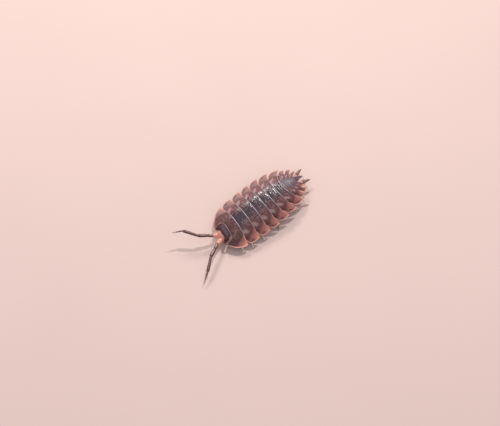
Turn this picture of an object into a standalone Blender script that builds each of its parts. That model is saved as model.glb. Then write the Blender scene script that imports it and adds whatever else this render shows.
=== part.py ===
"""A common shiny woodlouse at life size, a still model on fourteen feet.

Frame: the head faces +X, the animal's left is +Y, +Z is up and the feet stand on z = 0.
The origin is on the floor under the middle of the animal's bounding box.
A station is a distance backward from the tips of the head's two side lobes.
Sizes are in millimetres, and the meshes are made in metres.
"""

import math

import bmesh
import bpy
import numpy as np
from mathutils import Vector

MM = 0.001

# Place of the lobe tips, which centres the whole animal on the origin
LOBE_X = 4.93

# Driving sizes of the body: the rim's height along the sides, raised a little behind the middle,
# the crest of the back, and the smooth outline round all plates
RIM_HEIGHT = 1.12
RIM_LIFT = 0.40
RIM_LIFT_STATION = 10.3
RIM_LIFT_SPREAD = 2.6
CREST_HEIGHT = 3.40
CREST_STATION = 8.0
FRONT_CREST_DROP = 1.60
TAIL_STATION = 15.2
TAIL_CREST_DROP = 1.95
CREST_POWER = 2.2
VAULT_POWER = 1.5
VAULT_BELL_SHARE = 0.65
HALF_WIDTH = 3.78
WIDEST_STATION = 6.3
OUTLINE_REAR_STATION = 15.5
OUTLINE_POWER = 2.8
OUTLINE_END_SHARE = 0.98
BELLY_HEIGHT = 1.45
PLEON_BELLY_HEIGHT = 1.30
PLEON_BELLY_STATIONS = (10.5, 13.0)
RIM_THICKNESS = 0.28
EPIMERON_THICKNESS = 0.45

# How neighbours meet
GAP = 0.12
PLATE_STEP = 0.14
WALL_LEAN = 0.25
SHARP_ANGLE = math.radians(40)
CURVE_STEPS = 24

# The head and the front plates are turned a little to the animal's right, less and less backward
FRONT_TURN = 0.12
TURN_END = 9.0

# Plates from the front: rear edge on the midline, rear corner, half width at that corner, sweep
# power of the rear edge, how much narrower the front corner is, how much wider the side bows
# forward of the rear corner, and the depth of the notch before the outer part
PLATES = {
    "pereonite_1": (2.90, 2.76, 3.50, 3.0, 1.70, 0.00, 0.00),
    "pereonite_2": (4.56, 4.76, 3.66, 2.6, 0.70, 0.12, 0.12),
    "pereonite_3": (6.13, 6.62, 3.72, 3.0, 0.65, 0.18, 0.12),
    "pereonite_4": (7.66, 8.24, 3.76, 3.0, 0.60, 0.14, 0.14),
    "pereonite_5": (9.00, 10.02, 3.67, 2.8, 0.45, 0.14, 0.14),
    "pereonite_6": (10.48, 11.70, 3.43, 2.6, 0.38, 0.20, 0.14),
    "pereonite_7": (11.66, 13.44, 2.93, 2.2, 0.44, 0.40, 0.14),
    "pleonite_1": (12.12, 12.18, 1.12, 2.0, 0.04, 0.00, 0.00),
    "pleonite_2": (12.50, 12.58, 1.78, 2.0, 0.04, 0.00, 0.00),
    "pleonite_3": (12.90, 13.93, 2.38, 1.9, 0.16, 0.20, 0.12),
    "pleonite_4": (13.38, 14.83, 1.85, 2.1, 0.14, 0.38, 0.12),
    "pleonite_5": (13.90, 15.20, 1.18, 2.3, 0.14, 0.46, 0.12),
}
NOTCH_START = 0.72
NOTCH_POWER = 1.2
CORNER_POWER = 5.0
HORN_POWER = 2.3
PLATE_COLUMNS = 25
PLATE_ROWS = 7
ROW_CROWDING = 1.4

# Head: its front edge, rear edge and sides, and its two front lobes
HEAD_FRONT_STATION = 0.40
HEAD_REAR_STATION = 1.42
HEAD_HALF_WIDTH = 1.42
HEAD_FRONT_NARROWING = 0.03
HEAD_SIDE_FALL = 0.36
HEAD_SIDE_POWER = 2.4
HEAD_FRONT_FALL = 0.10
HEAD_UNDERSIDE = 1.05
HEAD_SIDE_LIFT = 0.20
HEAD_FRONT_OVERHANG = 0.18
HEAD_COLUMNS = 29
HEAD_ROWS = 6
LOBE_SPREAD = 1.12
LOBE_HALF_WIDTH = 0.38
LOBE_POWER = 1.8

# Face, mouth and the lip between the feelers, each given by station, y and z and by its radii
FACE_LUMPS = (
    ((0.52, 0.0, 1.22), (0.62, 1.00, 0.56)),
    ((0.85, 0.0, 0.90), (0.52, 0.62, 0.38)),
    ((0.02, 0.0, 0.86), (0.44, 0.18, 0.24)),
)
FACE_SEGMENTS = 20

# Front horns of the first plate, which hold the head between them
HORN_STATION = 0.30
HORN_Y = 1.56
HORN_SWEEP_POWER = 7

# Eyes
EYE_CENTRE = (0.86, 1.27, 1.80)
EYE_RADII = (0.27, 0.14, 0.19)
EYE_GAP = 0.06
EYE_SEGMENTS = 16

# Tail shield: its tip, width at its front beyond the tip's, how the width falls, and how the
# rear slants
TELSON_TIP_STATION = 15.6
TELSON_WIDTH = 0.62
TELSON_POWER = 1.3
TELSON_TIP_WIDTH = 0.12
TELSON_SLANT = 0.6
TELSON_COLUMNS = 11

# Antennae: joints from the face outward, as distance ahead of the lobe tips, y and z
ANTENNAE = {
    "left": ((0.24, 0.48, 1.08), (1.04, 0.76, 1.34), (1.80, 1.10, 1.42), (3.08, 1.72, 1.46),
             (4.78, 3.14, 0.92), (6.34, 4.08, 0.60)),
    "right": ((0.24, -0.48, 1.08), (0.74, -0.68, 1.36), (1.36, -1.08, 1.60), (2.62, -1.88, 1.90),
              (3.96, -3.60, 2.44), (5.42, -4.30, 2.50)),
}
ANTENNA_BASE_RADII = (0.26, 0.32, 0.34, 0.31, 0.28, 0.29, 0.29, 0.27, 0.22)
ANTENNA_SIDES = 12
ARTICLE_DOME = 0.2
ARTICLE_SHARES = (0, 0.07, 0.3, 0.6, 0.85, 0.94, 1)
ARTICLE_SHOULDERS = (0.82, 0.98, 1, 1, 1, 0.98, 0.82)
ARTICLE_SWELL = 0.02
ARTICLE_SWELL_POWER = 1.5
ARTICLE_RADII = {"article_4": (0.25, 0.27), "article_5": (0.24, 0.26), "flagellum": (0.20, 0.07)}

# Legs: station of the socket under each pereonite, each foot's station and y, the limb's heights
# at shares of the way from knee to foot, and how far a leg bends backward on that way
SOCKETS = (1.75, 3.25, 4.85, 6.40, 7.85, 9.30, 10.70)
FEET = {
    "left": ((-0.90, 2.10), (1.40, 3.90), (2.95, 4.22), (5.05, 4.28), (7.55, 4.26), (13.80, 3.78),
             (15.25, 2.20)),
    "right": ((0.85, -2.25), (2.05, -3.15), (3.60, -3.60), (5.60, -3.75), (9.20, -3.95), (12.40, -3.50),
              (14.10, -2.65)),
}
SOCKET_Y = 1.80
KNEE_Y = 0.95
HIP_DROP = 0.20
KNEE_AHEAD = 0.52
MIDDLE_AHEAD = 0.22
MIDDLE_HEIGHT = 1.06
KNEE_HEIGHT = 0.90
LIMB_HEIGHTS = ((0.18, 0.68), (0.42, 0.56), (0.68, 0.44), (0.88, 0.22))
LIMB_BENDS = {("left", 5): 0.55}
LEGS_THAT_REACH_FORWARD = 4
FIRST_ARTICLE_RADII = (0.23, 0.24, 0.24, 0.25)
LIMB_RADII = ((0, 0.24), (0.35, 0.25), (0.8, 0.17), (1, 0.09))
LIMB_RINGS = 11
LEG_SIDES = 10

# Uropods: the stub beside the telson, the long outer blade and the short inner one
UROPOD_STUB = (14.34, 0.50, 0.96)
UROPOD_ELBOW = (14.94, 0.72, 1.03)
UROPOD_TIP = (16.20, 1.04, 1.00)
ENDOPOD_TIP = (15.50, 0.37, 0.90)
ENDOPOD_ROOT_SHARE = 0.6
UROPOD_RADII = (0.17, 0.21, 0.24, 0.26, 0.26, 0.24, 0.19, 0.13, 0.05)
ENDOPOD_RADII = (0.10, 0.14, 0.14, 0.12, 0.09, 0.04)
UROPOD_SIDES = 12
ENDOPOD_SIDES = 10

# Gill flaps under the tail: five overlapping pairs in one row, and the shares of the row that the
# seams between pairs take before and behind
FLAP_FRONT = 11.75
FLAP_REAR = 14.10
FLAP_PAIRS = 5
FLAP_HALF_WIDTH = 1.05
FLAP_NARROWING = 0.45
FLAP_NARROWING_POWER = 1.5
FLAP_SEAM = (0.005, 0.030)
FLAP_COLUMNS = 13
FLAP_ROOT_GAP = 0.12
FLAP_THICKNESS = 0.30
FLAP_STEP = 0.12
FLAP_GROOVE_DEPTH = 0.10
FLAP_GROOVE_WIDTH = 0.16
FLAP_EDGE_POWER = 4

# Colour and roughness of each finish
FINISHES = {
    "shell": ((0.060, 0.042, 0.044), 0.30),
    "head": ((0.035, 0.026, 0.028), 0.30),
    "pale": ((0.62, 0.42, 0.32), 0.45),
    "antenna": ((0.10, 0.065, 0.058), 0.45),
    "eye": ((0.01, 0.01, 0.012), 0.15),
    "uropod": ((0.08, 0.055, 0.052), 0.40),
}


def material(name, colour, roughness):
    """A Principled BSDF with one colour and roughness."""
    made = bpy.data.materials.new(name)
    made.use_nodes = True
    shader = made.node_tree.nodes["Principled BSDF"]
    shader.inputs["Base Color"].default_value = (*colour, 1.0)
    shader.inputs["Roughness"].default_value = roughness
    shader.inputs["Metallic"].default_value = 0.0
    made.diffuse_color = (*colour, 1.0)
    return made


def place(station, y, z):
    """The point in the animal's frame, in millimetres."""
    return np.array([LOBE_X - station, y, z])


def place_grid(station, y, z):
    """A grid of points from grids, or one number, of station, y and z."""
    return np.stack(np.broadcast_arrays(LOBE_X - station, y, z), axis=2)


def finish(name, points, faces, made_of, root, origin):
    """An object with its own origin, closed, facing out and shaded smooth to a sharp edge."""
    mesh = bpy.data.meshes.new(name)
    origin = np.asarray(origin, dtype=float)
    mesh.from_pydata(((np.asarray(points) - origin) * MM).tolist(), [], faces)
    edit = bmesh.new()
    edit.from_mesh(mesh)
    bmesh.ops.recalc_face_normals(edit, faces=edit.faces)
    edit.to_mesh(mesh)
    edit.free()
    mesh.shade_smooth()
    mesh.set_sharp_from_angle(angle=SHARP_ANGLE)
    mesh.materials.append(made_of)
    made = bpy.data.objects.new(name, mesh)
    made.location = origin * MM
    made.parent = root
    bpy.context.scene.collection.objects.link(made)
    return made


def crest(station):
    """Height of the back's midline: a power curve falling to each end from the highest point."""
    ahead = np.clip((CREST_STATION - station) / CREST_STATION, 0, None)
    behind = np.clip((station - CREST_STATION) / (TAIL_STATION - CREST_STATION), 0, None)
    fall = FRONT_CREST_DROP * ahead**CREST_POWER + TAIL_CREST_DROP * behind**CREST_POWER
    return CREST_HEIGHT - fall


def outline(station):
    """Half width of the smooth outline round all plates: a superellipse to each end."""
    ahead = np.clip((WIDEST_STATION - station) / WIDEST_STATION, 0, OUTLINE_END_SHARE)
    behind = (station - WIDEST_STATION) / (OUTLINE_REAR_STATION - WIDEST_STATION)
    share = np.maximum(ahead, np.clip(behind, 0, OUTLINE_END_SHARE))
    return HALF_WIDTH * (1 - share**OUTLINE_POWER) ** (1 / OUTLINE_POWER)


def rim(station):
    """Height of the plates' side margins, raised by a Gauss bell behind the middle."""
    return RIM_HEIGHT + RIM_LIFT * np.exp(-(((station - RIM_LIFT_STATION) / RIM_LIFT_SPREAD) ** 2))


def back(station, y):
    """Height of the vaulted back: a mix of a cosine bell and a parabola across the body."""
    across = np.clip(np.abs(y) / outline(station), 0, 1)
    bell = 0.5 * (1 + np.cos(np.pi * across**VAULT_POWER))
    vault = VAULT_BELL_SHARE * bell + (1 - VAULT_BELL_SHARE) * (1 - across**2)
    return rim(station) + (crest(station) - rim(station)) * vault


def belly(station):
    """Height of the flat belly, a little lower under the tail."""
    front, rear = PLEON_BELLY_STATIONS
    share = np.clip((station - front) / (rear - front), 0, 1)
    return BELLY_HEIGHT + (PLEON_BELLY_HEIGHT - BELLY_HEIGHT) * share


def underside(station, y, top):
    """The belly, and outside it the thin outer part of a plate that follows its top."""
    across = np.clip(np.abs(y) / outline(station), 0, 1)
    thickness = EPIMERON_THICKNESS + (RIM_THICKNESS - EPIMERON_THICKNESS) * across
    return np.minimum(belly(station), top - thickness)


def turned(station, y):
    """How far forward the slight turn of the head and front plates carries a point at y."""
    return FRONT_TURN * np.clip(1 - station / TURN_END, 0, None) * y


def rear_edge(name, y):
    """Station of a plate's rear edge: from the midline to the corner by a power of y."""
    middle, corner, half_width, power = PLATES[name][:4]
    across = np.minimum(np.abs(y) / half_width, 1)
    return middle + (corner - middle) * across**power - turned(middle, y)


def side_line(name, share):
    """Half width of a plate along its side: wider forward in a line, then rounded off by a power."""
    half_width, narrowing, bow = PLATES[name][2], PLATES[name][4], PLATES[name][5]
    power = HORN_POWER if name == "pereonite_1" else CORNER_POWER
    return half_width + bow * (1 - share) - narrowing * (1 - share) ** power


def head_rear_edge(y):
    """The head's rear edge: a power forward to each side, then the first plate's horn tips."""
    sweep = (HEAD_REAR_STATION - HORN_STATION) * (np.abs(y) / HORN_Y) ** HORN_SWEEP_POWER
    return np.maximum(HEAD_REAR_STATION - sweep, HORN_STATION) - turned(HEAD_REAR_STATION, y)


def head_front_edge(y):
    """The head's front edge: straight between two rounded lobes that reach farther forward."""
    lobe = np.clip(1 - np.abs((np.abs(y) - LOBE_SPREAD) / LOBE_HALF_WIDTH) ** LOBE_POWER, 0, 1)
    return HEAD_FRONT_STATION * (1 - lobe) - turned(0, y)


def head_back(station, y):
    """The head's top, flatter across than the rest of the back."""
    return crest(station) - HEAD_SIDE_FALL * (np.abs(y) / HEAD_HALF_WIDTH) ** HEAD_SIDE_POWER


def front_edge(name, y):
    """One gap behind whichever earlier plate reaches back farthest, then bent back to a notch."""
    order = list(PLATES)
    reach = head_rear_edge(y)
    for other in order[: order.index(name)]:
        reach = np.maximum(reach, rear_edge(other, y))
    half_width, notch = PLATES[name][2], PLATES[name][6]
    outer = np.clip((np.abs(y) / half_width - NOTCH_START) / (1 - NOTCH_START), 0, None)
    return reach + GAP + notch * outer**NOTCH_POWER


def grid_solid(top, bottom):
    """Points and faces of a closed solid between two grids of the same shape."""
    rows, columns, _ = top.shape
    points = np.concatenate([top.reshape(-1, 3), bottom.reshape(-1, 3)])
    index = np.arange(rows * columns).reshape(rows, columns)
    under = index + rows * columns
    faces = []
    for layer in (index, under):
        corners = (layer[:-1, :-1], layer[1:, :-1], layer[1:, 1:], layer[:-1, 1:])
        faces += np.stack([corner.ravel() for corner in corners], axis=1).tolist()
    around = np.concatenate([index[0, :-1], index[:-1, -1], index[-1, :0:-1], index[:0:-1, 0]])
    following = np.roll(around, -1)
    walls = np.stack([around, following, following + rows * columns, around + rows * columns], axis=1)
    return points, faces + walls.tolist()


def plate_grids(front, rear, half_width, columns, rows):
    """Top and bottom grids of a plate between two edges, its walls leaning forward going down."""
    u = np.linspace(-1, 1, columns)[None, :]
    v = (np.linspace(0, 1, rows) ** ROW_CROWDING)[:, None]
    y = u * half_width(v)
    station = front(y) * (1 - v) + rear(y) * v
    top = back(station, y) - PLATE_STEP * (1 - v) ** 2
    bottom = underside(station, y, top)
    return place_grid(station, y, top), place_grid(station - WALL_LEAN * (top - bottom), y, bottom)


def make_plate(name, made_of, root):
    """One plate of the back with the slice of body below it."""
    grids = plate_grids(
        lambda y: front_edge(name, y),
        lambda y: rear_edge(name, y),
        lambda v: side_line(name, v),
        PLATE_COLUMNS,
        PLATE_ROWS,
    )
    middle = PLATES[name][0]
    return finish(name, *grid_solid(*grids), made_of, root, place(middle, 0, belly(middle)))


def make_telson(made_of, root):
    """The pointed tail shield with hollow sides."""
    grids = plate_grids(
        lambda y: rear_edge("pleonite_5", y) + GAP,
        lambda y: TELSON_TIP_STATION - TELSON_SLANT * np.abs(y),
        lambda v: TELSON_WIDTH * (1 - v) ** TELSON_POWER + TELSON_TIP_WIDTH,
        TELSON_COLUMNS,
        PLATE_ROWS,
    )
    return finish("telson", *grid_solid(*grids), made_of, root, place(TELSON_TIP_STATION, 0, RIM_HEIGHT))


def ellipsoid(centre, radii, segments):
    """Points and faces of an ellipsoid at a place given by station, y and z."""
    rings = segments // 2
    middle = place(*centre)
    radii = np.asarray(radii)
    points = [middle + radii * (0, 0, 1)]
    for ring in range(1, rings):
        polar = math.pi * ring / rings
        for segment in range(segments):
            turn = 2 * math.pi * segment / segments
            offset = (math.sin(polar) * math.cos(turn), math.sin(polar) * math.sin(turn), math.cos(polar))
            points.append(middle + radii * offset)
    points.append(middle - radii * (0, 0, 1))
    faces = []
    for segment in range(segments):
        after = (segment + 1) % segments
        faces.append((0, 1 + segment, 1 + after))
        last = 1 + (rings - 2) * segments
        faces.append((len(points) - 1, last + after, last + segment))
        for ring in range(rings - 2):
            start = 1 + ring * segments
            below = start + segments
            faces.append((start + segment, below + segment, below + after, start + after))
    return points, faces


def smooth_path(points, count):
    """Points spread evenly along a Catmull-Rom curve through the given ones."""
    given = np.asarray(points, dtype=float)
    padded = np.vstack([2 * given[0] - given[1], given, 2 * given[-1] - given[-2]])
    fine = []
    for i in range(1, len(padded) - 2):
        p0, p1, p2, p3 = padded[i - 1 : i + 3]
        for t in np.linspace(0, 1, CURVE_STEPS, endpoint=False):
            fine.append(
                0.5 * (2 * p1 + (p2 - p0) * t + (2 * p0 - 5 * p1 + 4 * p2 - p3) * t**2
                       + (3 * p1 - p0 - 3 * p2 + p3) * t**3)
            )
    fine = np.array(fine + [given[-1]])
    length = np.concatenate([[0], np.cumsum(np.linalg.norm(np.diff(fine, axis=0), axis=1))])
    wanted = np.linspace(0, length[-1], count)
    return np.stack([np.interp(wanted, length, fine[:, axis]) for axis in range(3)], axis=1)


def tube(path, radii, sides, flat_end=False, dome=0.5):
    """A closed tube along a path; a domed end unless it ends flat on the floor."""
    path = np.asarray(path, dtype=float)
    tangents = np.gradient(path, axis=0)
    tangents /= np.linalg.norm(tangents, axis=1)[:, None]
    if flat_end:
        tangents[-1] = (0, 0, -1)
    side = Vector(tangents[0]).orthogonal().normalized()
    rings = []
    for i, (centre, tangent) in enumerate(zip(path, tangents)):
        if i:
            side.rotate(Vector(tangents[i - 1]).rotation_difference(Vector(tangent)))
        a = np.array(side)
        b = np.cross(tangent, a)
        turns = 2 * math.pi * np.arange(sides) / sides
        rings.append(centre + radii[i] * (np.cos(turns)[:, None] * a + np.sin(turns)[:, None] * b))
    start_pole = path[0] - tangents[0] * radii[0] * dome
    end_pole = path[-1] + tangents[-1] * (0 if flat_end else radii[-1] * dome)
    points = np.vstack(rings + [start_pole[None], end_pole[None]])
    faces = []
    first_pole = len(path) * sides
    for k in range(sides):
        after = (k + 1) % sides
        faces.append((first_pole, after, k))
        last = (len(path) - 1) * sides
        faces.append((first_pole + 1, last + k, last + after))
        for i in range(len(path) - 1):
            faces.append((i * sides + k, i * sides + after, (i + 1) * sides + after, (i + 1) * sides + k))
    return points, faces


def keep_largest_surface(thing):
    """Keep the closed surface with the most faces, which drops loose scraps of a Boolean."""
    edit = bmesh.new()
    edit.from_mesh(thing.data)
    left = set(edit.faces)
    best = []
    while left:
        stack = [left.pop()]
        shell = list(stack)
        while stack:
            for edge in stack.pop().edges:
                for face in edge.link_faces:
                    if face in left:
                        left.discard(face)
                        shell.append(face)
                        stack.append(face)
        if len(shell) > len(best):
            best = shell
    keep = set(best)
    bmesh.ops.delete(edit, geom=[face for face in edit.faces if face not in keep], context="FACES")
    edit.to_mesh(thing.data)
    edit.free()


def combine(thing, others, operation):
    """Apply one Boolean of a collection of closed objects, and remove them."""
    group = bpy.data.collections.new(thing.name + "_pieces")
    bpy.context.scene.collection.children.link(group)
    for other in others:
        bpy.context.scene.collection.objects.unlink(other)
        group.objects.link(other)
    cut = thing.modifiers.new("combine", "BOOLEAN")
    cut.operation = operation
    cut.operand_type = "COLLECTION"
    cut.collection = group
    bpy.context.view_layer.update()
    evaluated = thing.evaluated_get(bpy.context.evaluated_depsgraph_get())
    mesh = bpy.data.meshes.new_from_object(evaluated)
    thing.modifiers.remove(cut)
    thing.data = mesh
    for other in others:
        bpy.data.objects.remove(other)
    bpy.data.collections.remove(group)
    keep_largest_surface(thing)
    thing.data.shade_smooth()
    thing.data.set_sharp_from_angle(angle=SHARP_ANGLE)


def eye_place(side):
    """Centre of one eye, carried along by the turn of the head."""
    station, y, z = EYE_CENTRE
    return station - turned(station, side * y), side * y, z


def make_head(made_of, root):
    """The head shield with its side lobes, the face below it and the mouthparts."""
    u = np.linspace(-1, 1, HEAD_COLUMNS)[None, :]
    v = (np.linspace(0, 1, HEAD_ROWS) ** ROW_CROWDING)[:, None]
    y = u * HEAD_HALF_WIDTH * (1 - HEAD_FRONT_NARROWING * (1 - v) ** 2)
    station = head_front_edge(y) * (1 - v) + head_rear_edge(y) * v
    top = head_back(station, y) - HEAD_FRONT_FALL * (1 - v) ** 3
    bottom = np.broadcast_to(HEAD_UNDERSIDE + HEAD_SIDE_LIFT * np.abs(u) ** 3, top.shape)
    bottom_station = station - WALL_LEAN * (top - bottom) * v + HEAD_FRONT_OVERHANG * (1 - v)
    grids = place_grid(station, y, top), place_grid(bottom_station, y, bottom)
    head = finish("head", *grid_solid(*grids), made_of, root, place(HEAD_REAR_STATION, 0, HEAD_UNDERSIDE))
    lumps = [
        finish("face_piece", *ellipsoid(centre, radii, FACE_SEGMENTS), made_of, root, place(*centre))
        for centre, radii in FACE_LUMPS
    ]
    combine(head, lumps, "UNION")
    radii = np.array(EYE_RADII) + EYE_GAP
    sockets = [
        finish("socket", *ellipsoid(centre, radii, EYE_SEGMENTS), made_of, root, place(*centre))
        for centre in (eye_place(1), eye_place(-1))
    ]
    combine(head, sockets, "DIFFERENCE")
    return head


def make_eye(side, made_of, root):
    """One eye, an oval bead in its socket on the side of the head."""
    name = "eye_left" if side > 0 else "eye_right"
    centre = eye_place(side)
    return finish(name, *ellipsoid(centre, EYE_RADII, EYE_SEGMENTS), made_of, root, place(*centre))


def article(start, end, start_radius, end_radius):
    """Path and radii of one antenna article with round shoulders, thicker past its middle."""
    share = np.array(ARTICLE_SHARES)
    path = start + (end - start) * share[:, None]
    swell = ARTICLE_SWELL * np.sin(math.pi * share**ARTICLE_SWELL_POWER)
    radii = start_radius + (end_radius - start_radius) * share + swell
    return path, radii * np.array(ARTICLE_SHOULDERS)


def make_antenna(side, made_of, root):
    """One antenna in four nodes: the short base, two long articles and the whip."""
    joints = [place(-ahead, y, z) for ahead, y, z in ANTENNAE[side]]
    directions = [np.subtract(b, a) / np.linalg.norm(np.subtract(b, a)) for a, b in zip(joints, joints[1:])]
    reach = GAP / 2 + ARTICLE_DOME * max(ARTICLE_RADII["article_4"])
    base_end = joints[2] - directions[1] * reach
    base_path = smooth_path([joints[0], joints[1], base_end], len(ANTENNA_BASE_RADII))
    points, faces = tube(base_path, ANTENNA_BASE_RADII, ANTENNA_SIDES, dome=ARTICLE_DOME)
    finish(f"antenna_{side}_base", points, faces, made_of, root, joints[0])
    for i, (name, end_radii) in enumerate(ARTICLE_RADII.items(), 2):
        start = joints[i] + directions[i] * reach
        end = joints[i + 1] - directions[i] * (0 if name == "flagellum" else reach)
        path, radii = article(start, end, *end_radii)
        points, faces = tube(path, radii, ANTENNA_SIDES, dome=ARTICLE_DOME)
        finish(f"antenna_{side}_{name}", points, faces, made_of, root, start)


def make_leg(side, number, made_of, root):
    """One leg: its first article runs inward from the socket, and the limb from there to the foot.

    Both are tubes, joined at the knee, because one tube would fold through itself there.
    """
    sign = 1 if side == "left" else -1
    socket = SOCKETS[number - 1]
    foot_station, foot_y = FEET[side][number - 1]
    forward = -1 if number <= LEGS_THAT_REACH_FORWARD else 1
    hip = np.array([socket, sign * SOCKET_Y, belly(socket) - HIP_DROP])
    middle_y = sign * (SOCKET_Y + KNEE_Y) / 2
    middle = np.array([socket + MIDDLE_AHEAD * forward, middle_y, MIDDLE_HEIGHT])
    knee = np.array([socket + KNEE_AHEAD * forward, sign * KNEE_Y, KNEE_HEIGHT])
    inward = smooth_path([place(*point) for point in (hip, middle, knee)], len(FIRST_ARTICLE_RADII))
    points, faces = tube(inward, FIRST_ARTICLE_RADII, LEG_SIDES)
    leg = finish(f"leg_{side}_{number}", points, faces, made_of, root, place(*hip))

    foot = np.array([foot_station, foot_y, 0.0])
    bend = LIMB_BENDS.get((side, number), 0.0)
    route = [knee]
    for share, height in LIMB_HEIGHTS:
        point = knee + (foot - knee) * share
        point[0] += bend * math.sin(math.pi * share)
        point[2] = height
        route.append(point)
    route.append(foot)
    outward = smooth_path([place(*point) for point in route], LIMB_RINGS)
    radii = np.interp(np.linspace(0, 1, LIMB_RINGS), *np.transpose(LIMB_RADII))
    points, faces = tube(outward, radii, LEG_SIDES, flat_end=True)
    combine(leg, [finish("limb_piece", points, faces, made_of, root, place(*knee))], "UNION")


def make_uropod(side, made_of, root):
    """One tail limb, joined from its stub with the outer blade and the inner blade."""
    sign = 1 if side == "left" else -1
    stub, elbow, tip, inner_tip = (
        place(station, sign * y, z) for station, y, z in (UROPOD_STUB, UROPOD_ELBOW, UROPOD_TIP, ENDOPOD_TIP)
    )
    outer = smooth_path([stub, elbow, tip], len(UROPOD_RADII))
    points, faces = tube(outer, UROPOD_RADII, UROPOD_SIDES)
    uropod = finish(f"uropod_{side}", points, faces, made_of, root, stub)
    inner_root = stub + (elbow - stub) * ENDOPOD_ROOT_SHARE
    inner = smooth_path([inner_root, inner_tip], len(ENDOPOD_RADII))
    points, faces = tube(inner, ENDOPOD_RADII, ENDOPOD_SIDES)
    combine(uropod, [finish("inner_piece", points, faces, made_of, root, stub)], "UNION")


def make_pleopods(made_of, root):
    """Five pairs of flat gill flaps under the tail, stepped like shingles, with a middle groove."""
    u = np.linspace(-1, 1, FLAP_COLUMNS)[None, :]
    fronts = np.arange(FLAP_PAIRS) / FLAP_PAIRS + FLAP_SEAM[0]
    rears = np.arange(1, FLAP_PAIRS + 1) / FLAP_PAIRS - FLAP_SEAM[1]
    v = np.stack([fronts, rears], axis=1).reshape(-1, 1)
    y = u * FLAP_HALF_WIDTH * (1 - FLAP_NARROWING * v**FLAP_NARROWING_POWER)
    station = np.broadcast_to(FLAP_FRONT + (FLAP_REAR - FLAP_FRONT) * v, y.shape)
    top = belly(station) - FLAP_ROOT_GAP
    saw = np.array([0.0, 1.0] * FLAP_PAIRS)[:, None]
    groove = FLAP_GROOVE_DEPTH * np.exp(-((y / FLAP_GROOVE_WIDTH) ** 2))
    bottom = top - FLAP_THICKNESS - FLAP_STEP * saw * (1 - np.abs(u) ** FLAP_EDGE_POWER) + groove
    grids = place_grid(station, y, top), place_grid(station, y, bottom)
    finish("pleopods", *grid_solid(*grids), made_of, root, place(FLAP_FRONT, 0, PLEON_BELLY_HEIGHT))


def main():
    for thing in list(bpy.data.objects):
        bpy.data.objects.remove(thing)
    root = bpy.data.objects.new("woodlouse", None)
    bpy.context.scene.collection.objects.link(root)
    look = {name: material(name, *values) for name, values in FINISHES.items()}
    make_head(look["head"], root)
    for side in (1, -1):
        make_eye(side, look["eye"], root)
    for name in PLATES:
        make_plate(name, look["shell"], root)
    make_telson(look["shell"], root)
    make_pleopods(look["pale"], root)
    for side in ("left", "right"):
        make_antenna(side, look["antenna"], root)
        make_uropod(side, look["uropod"], root)
        for number in range(1, len(SOCKETS) + 1):
            make_leg(side, number, look["pale"], root)


main()
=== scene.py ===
"""The looks of a life-size woodlouse model, built round its packed solids.

A station is a distance backward from the tips of the head's side lobes, y runs to the animal's
left and z up, all in millimetres, until a mesh is made in metres.
"""

import bmesh
import bpy
import numpy as np
from bpy.props import FloatProperty, FloatVectorProperty, IntProperty, PointerProperty
from mathutils import Matrix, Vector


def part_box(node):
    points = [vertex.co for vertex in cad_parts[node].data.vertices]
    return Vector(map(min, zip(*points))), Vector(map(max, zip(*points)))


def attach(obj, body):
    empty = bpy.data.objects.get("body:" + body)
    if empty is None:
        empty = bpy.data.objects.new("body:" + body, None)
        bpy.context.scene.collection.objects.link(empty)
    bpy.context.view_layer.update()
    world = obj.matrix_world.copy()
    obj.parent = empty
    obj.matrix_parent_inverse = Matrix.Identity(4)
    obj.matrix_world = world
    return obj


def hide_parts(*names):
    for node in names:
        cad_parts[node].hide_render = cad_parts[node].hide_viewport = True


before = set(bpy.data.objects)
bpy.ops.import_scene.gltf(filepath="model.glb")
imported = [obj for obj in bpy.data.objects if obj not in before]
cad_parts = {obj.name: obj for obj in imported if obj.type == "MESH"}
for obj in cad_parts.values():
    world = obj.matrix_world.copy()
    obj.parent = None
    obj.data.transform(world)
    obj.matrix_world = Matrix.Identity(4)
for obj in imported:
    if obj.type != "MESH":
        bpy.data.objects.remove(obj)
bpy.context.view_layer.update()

bl_info = {
    "name": "Life-size Woodlouse",
    "version": (1, 0, 0),
    "blender": (4, 5, 0),
    "location": "3D View > Sidebar > Woodlouse",
    "description": "Builds the shell plates, head, feelers, legs and tail limbs of a woodlouse model",
    "category": "Object",
}

MM = 0.001

# The body's driving sizes, as its solids have them
TAIL_STATION = 15.2
TELSON_TIP_STATION = 15.6
LOBE_X = round(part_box("telson")[0].x / MM + TELSON_TIP_STATION, 2)
RIM_HEIGHT = 1.12
RIM_LIFT = 0.40
RIM_LIFT_STATION = 10.3
RIM_LIFT_SPREAD = 2.6
CREST_HEIGHT = 3.40
CREST_STATION = 8.0
FRONT_CREST_DROP = 1.60
TAIL_CREST_DROP = 1.95
CREST_POWER = 2.2
VAULT_POWER = 1.5
HALF_WIDTH = 3.78
WIDEST_STATION = 6.3
OUTLINE_REAR_STATION = 15.5
OUTLINE_POWER = 2.8
BELLY_HEIGHT = 1.45
PLEON_BELLY_HEIGHT = 1.30
PLEON_BELLY_STATIONS = (10.5, 13.0)

# The head and the front plates are turned a little to the animal's right, less and less backward
FRONT_TURN = 0.12
TURN_END = 9.0

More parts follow.
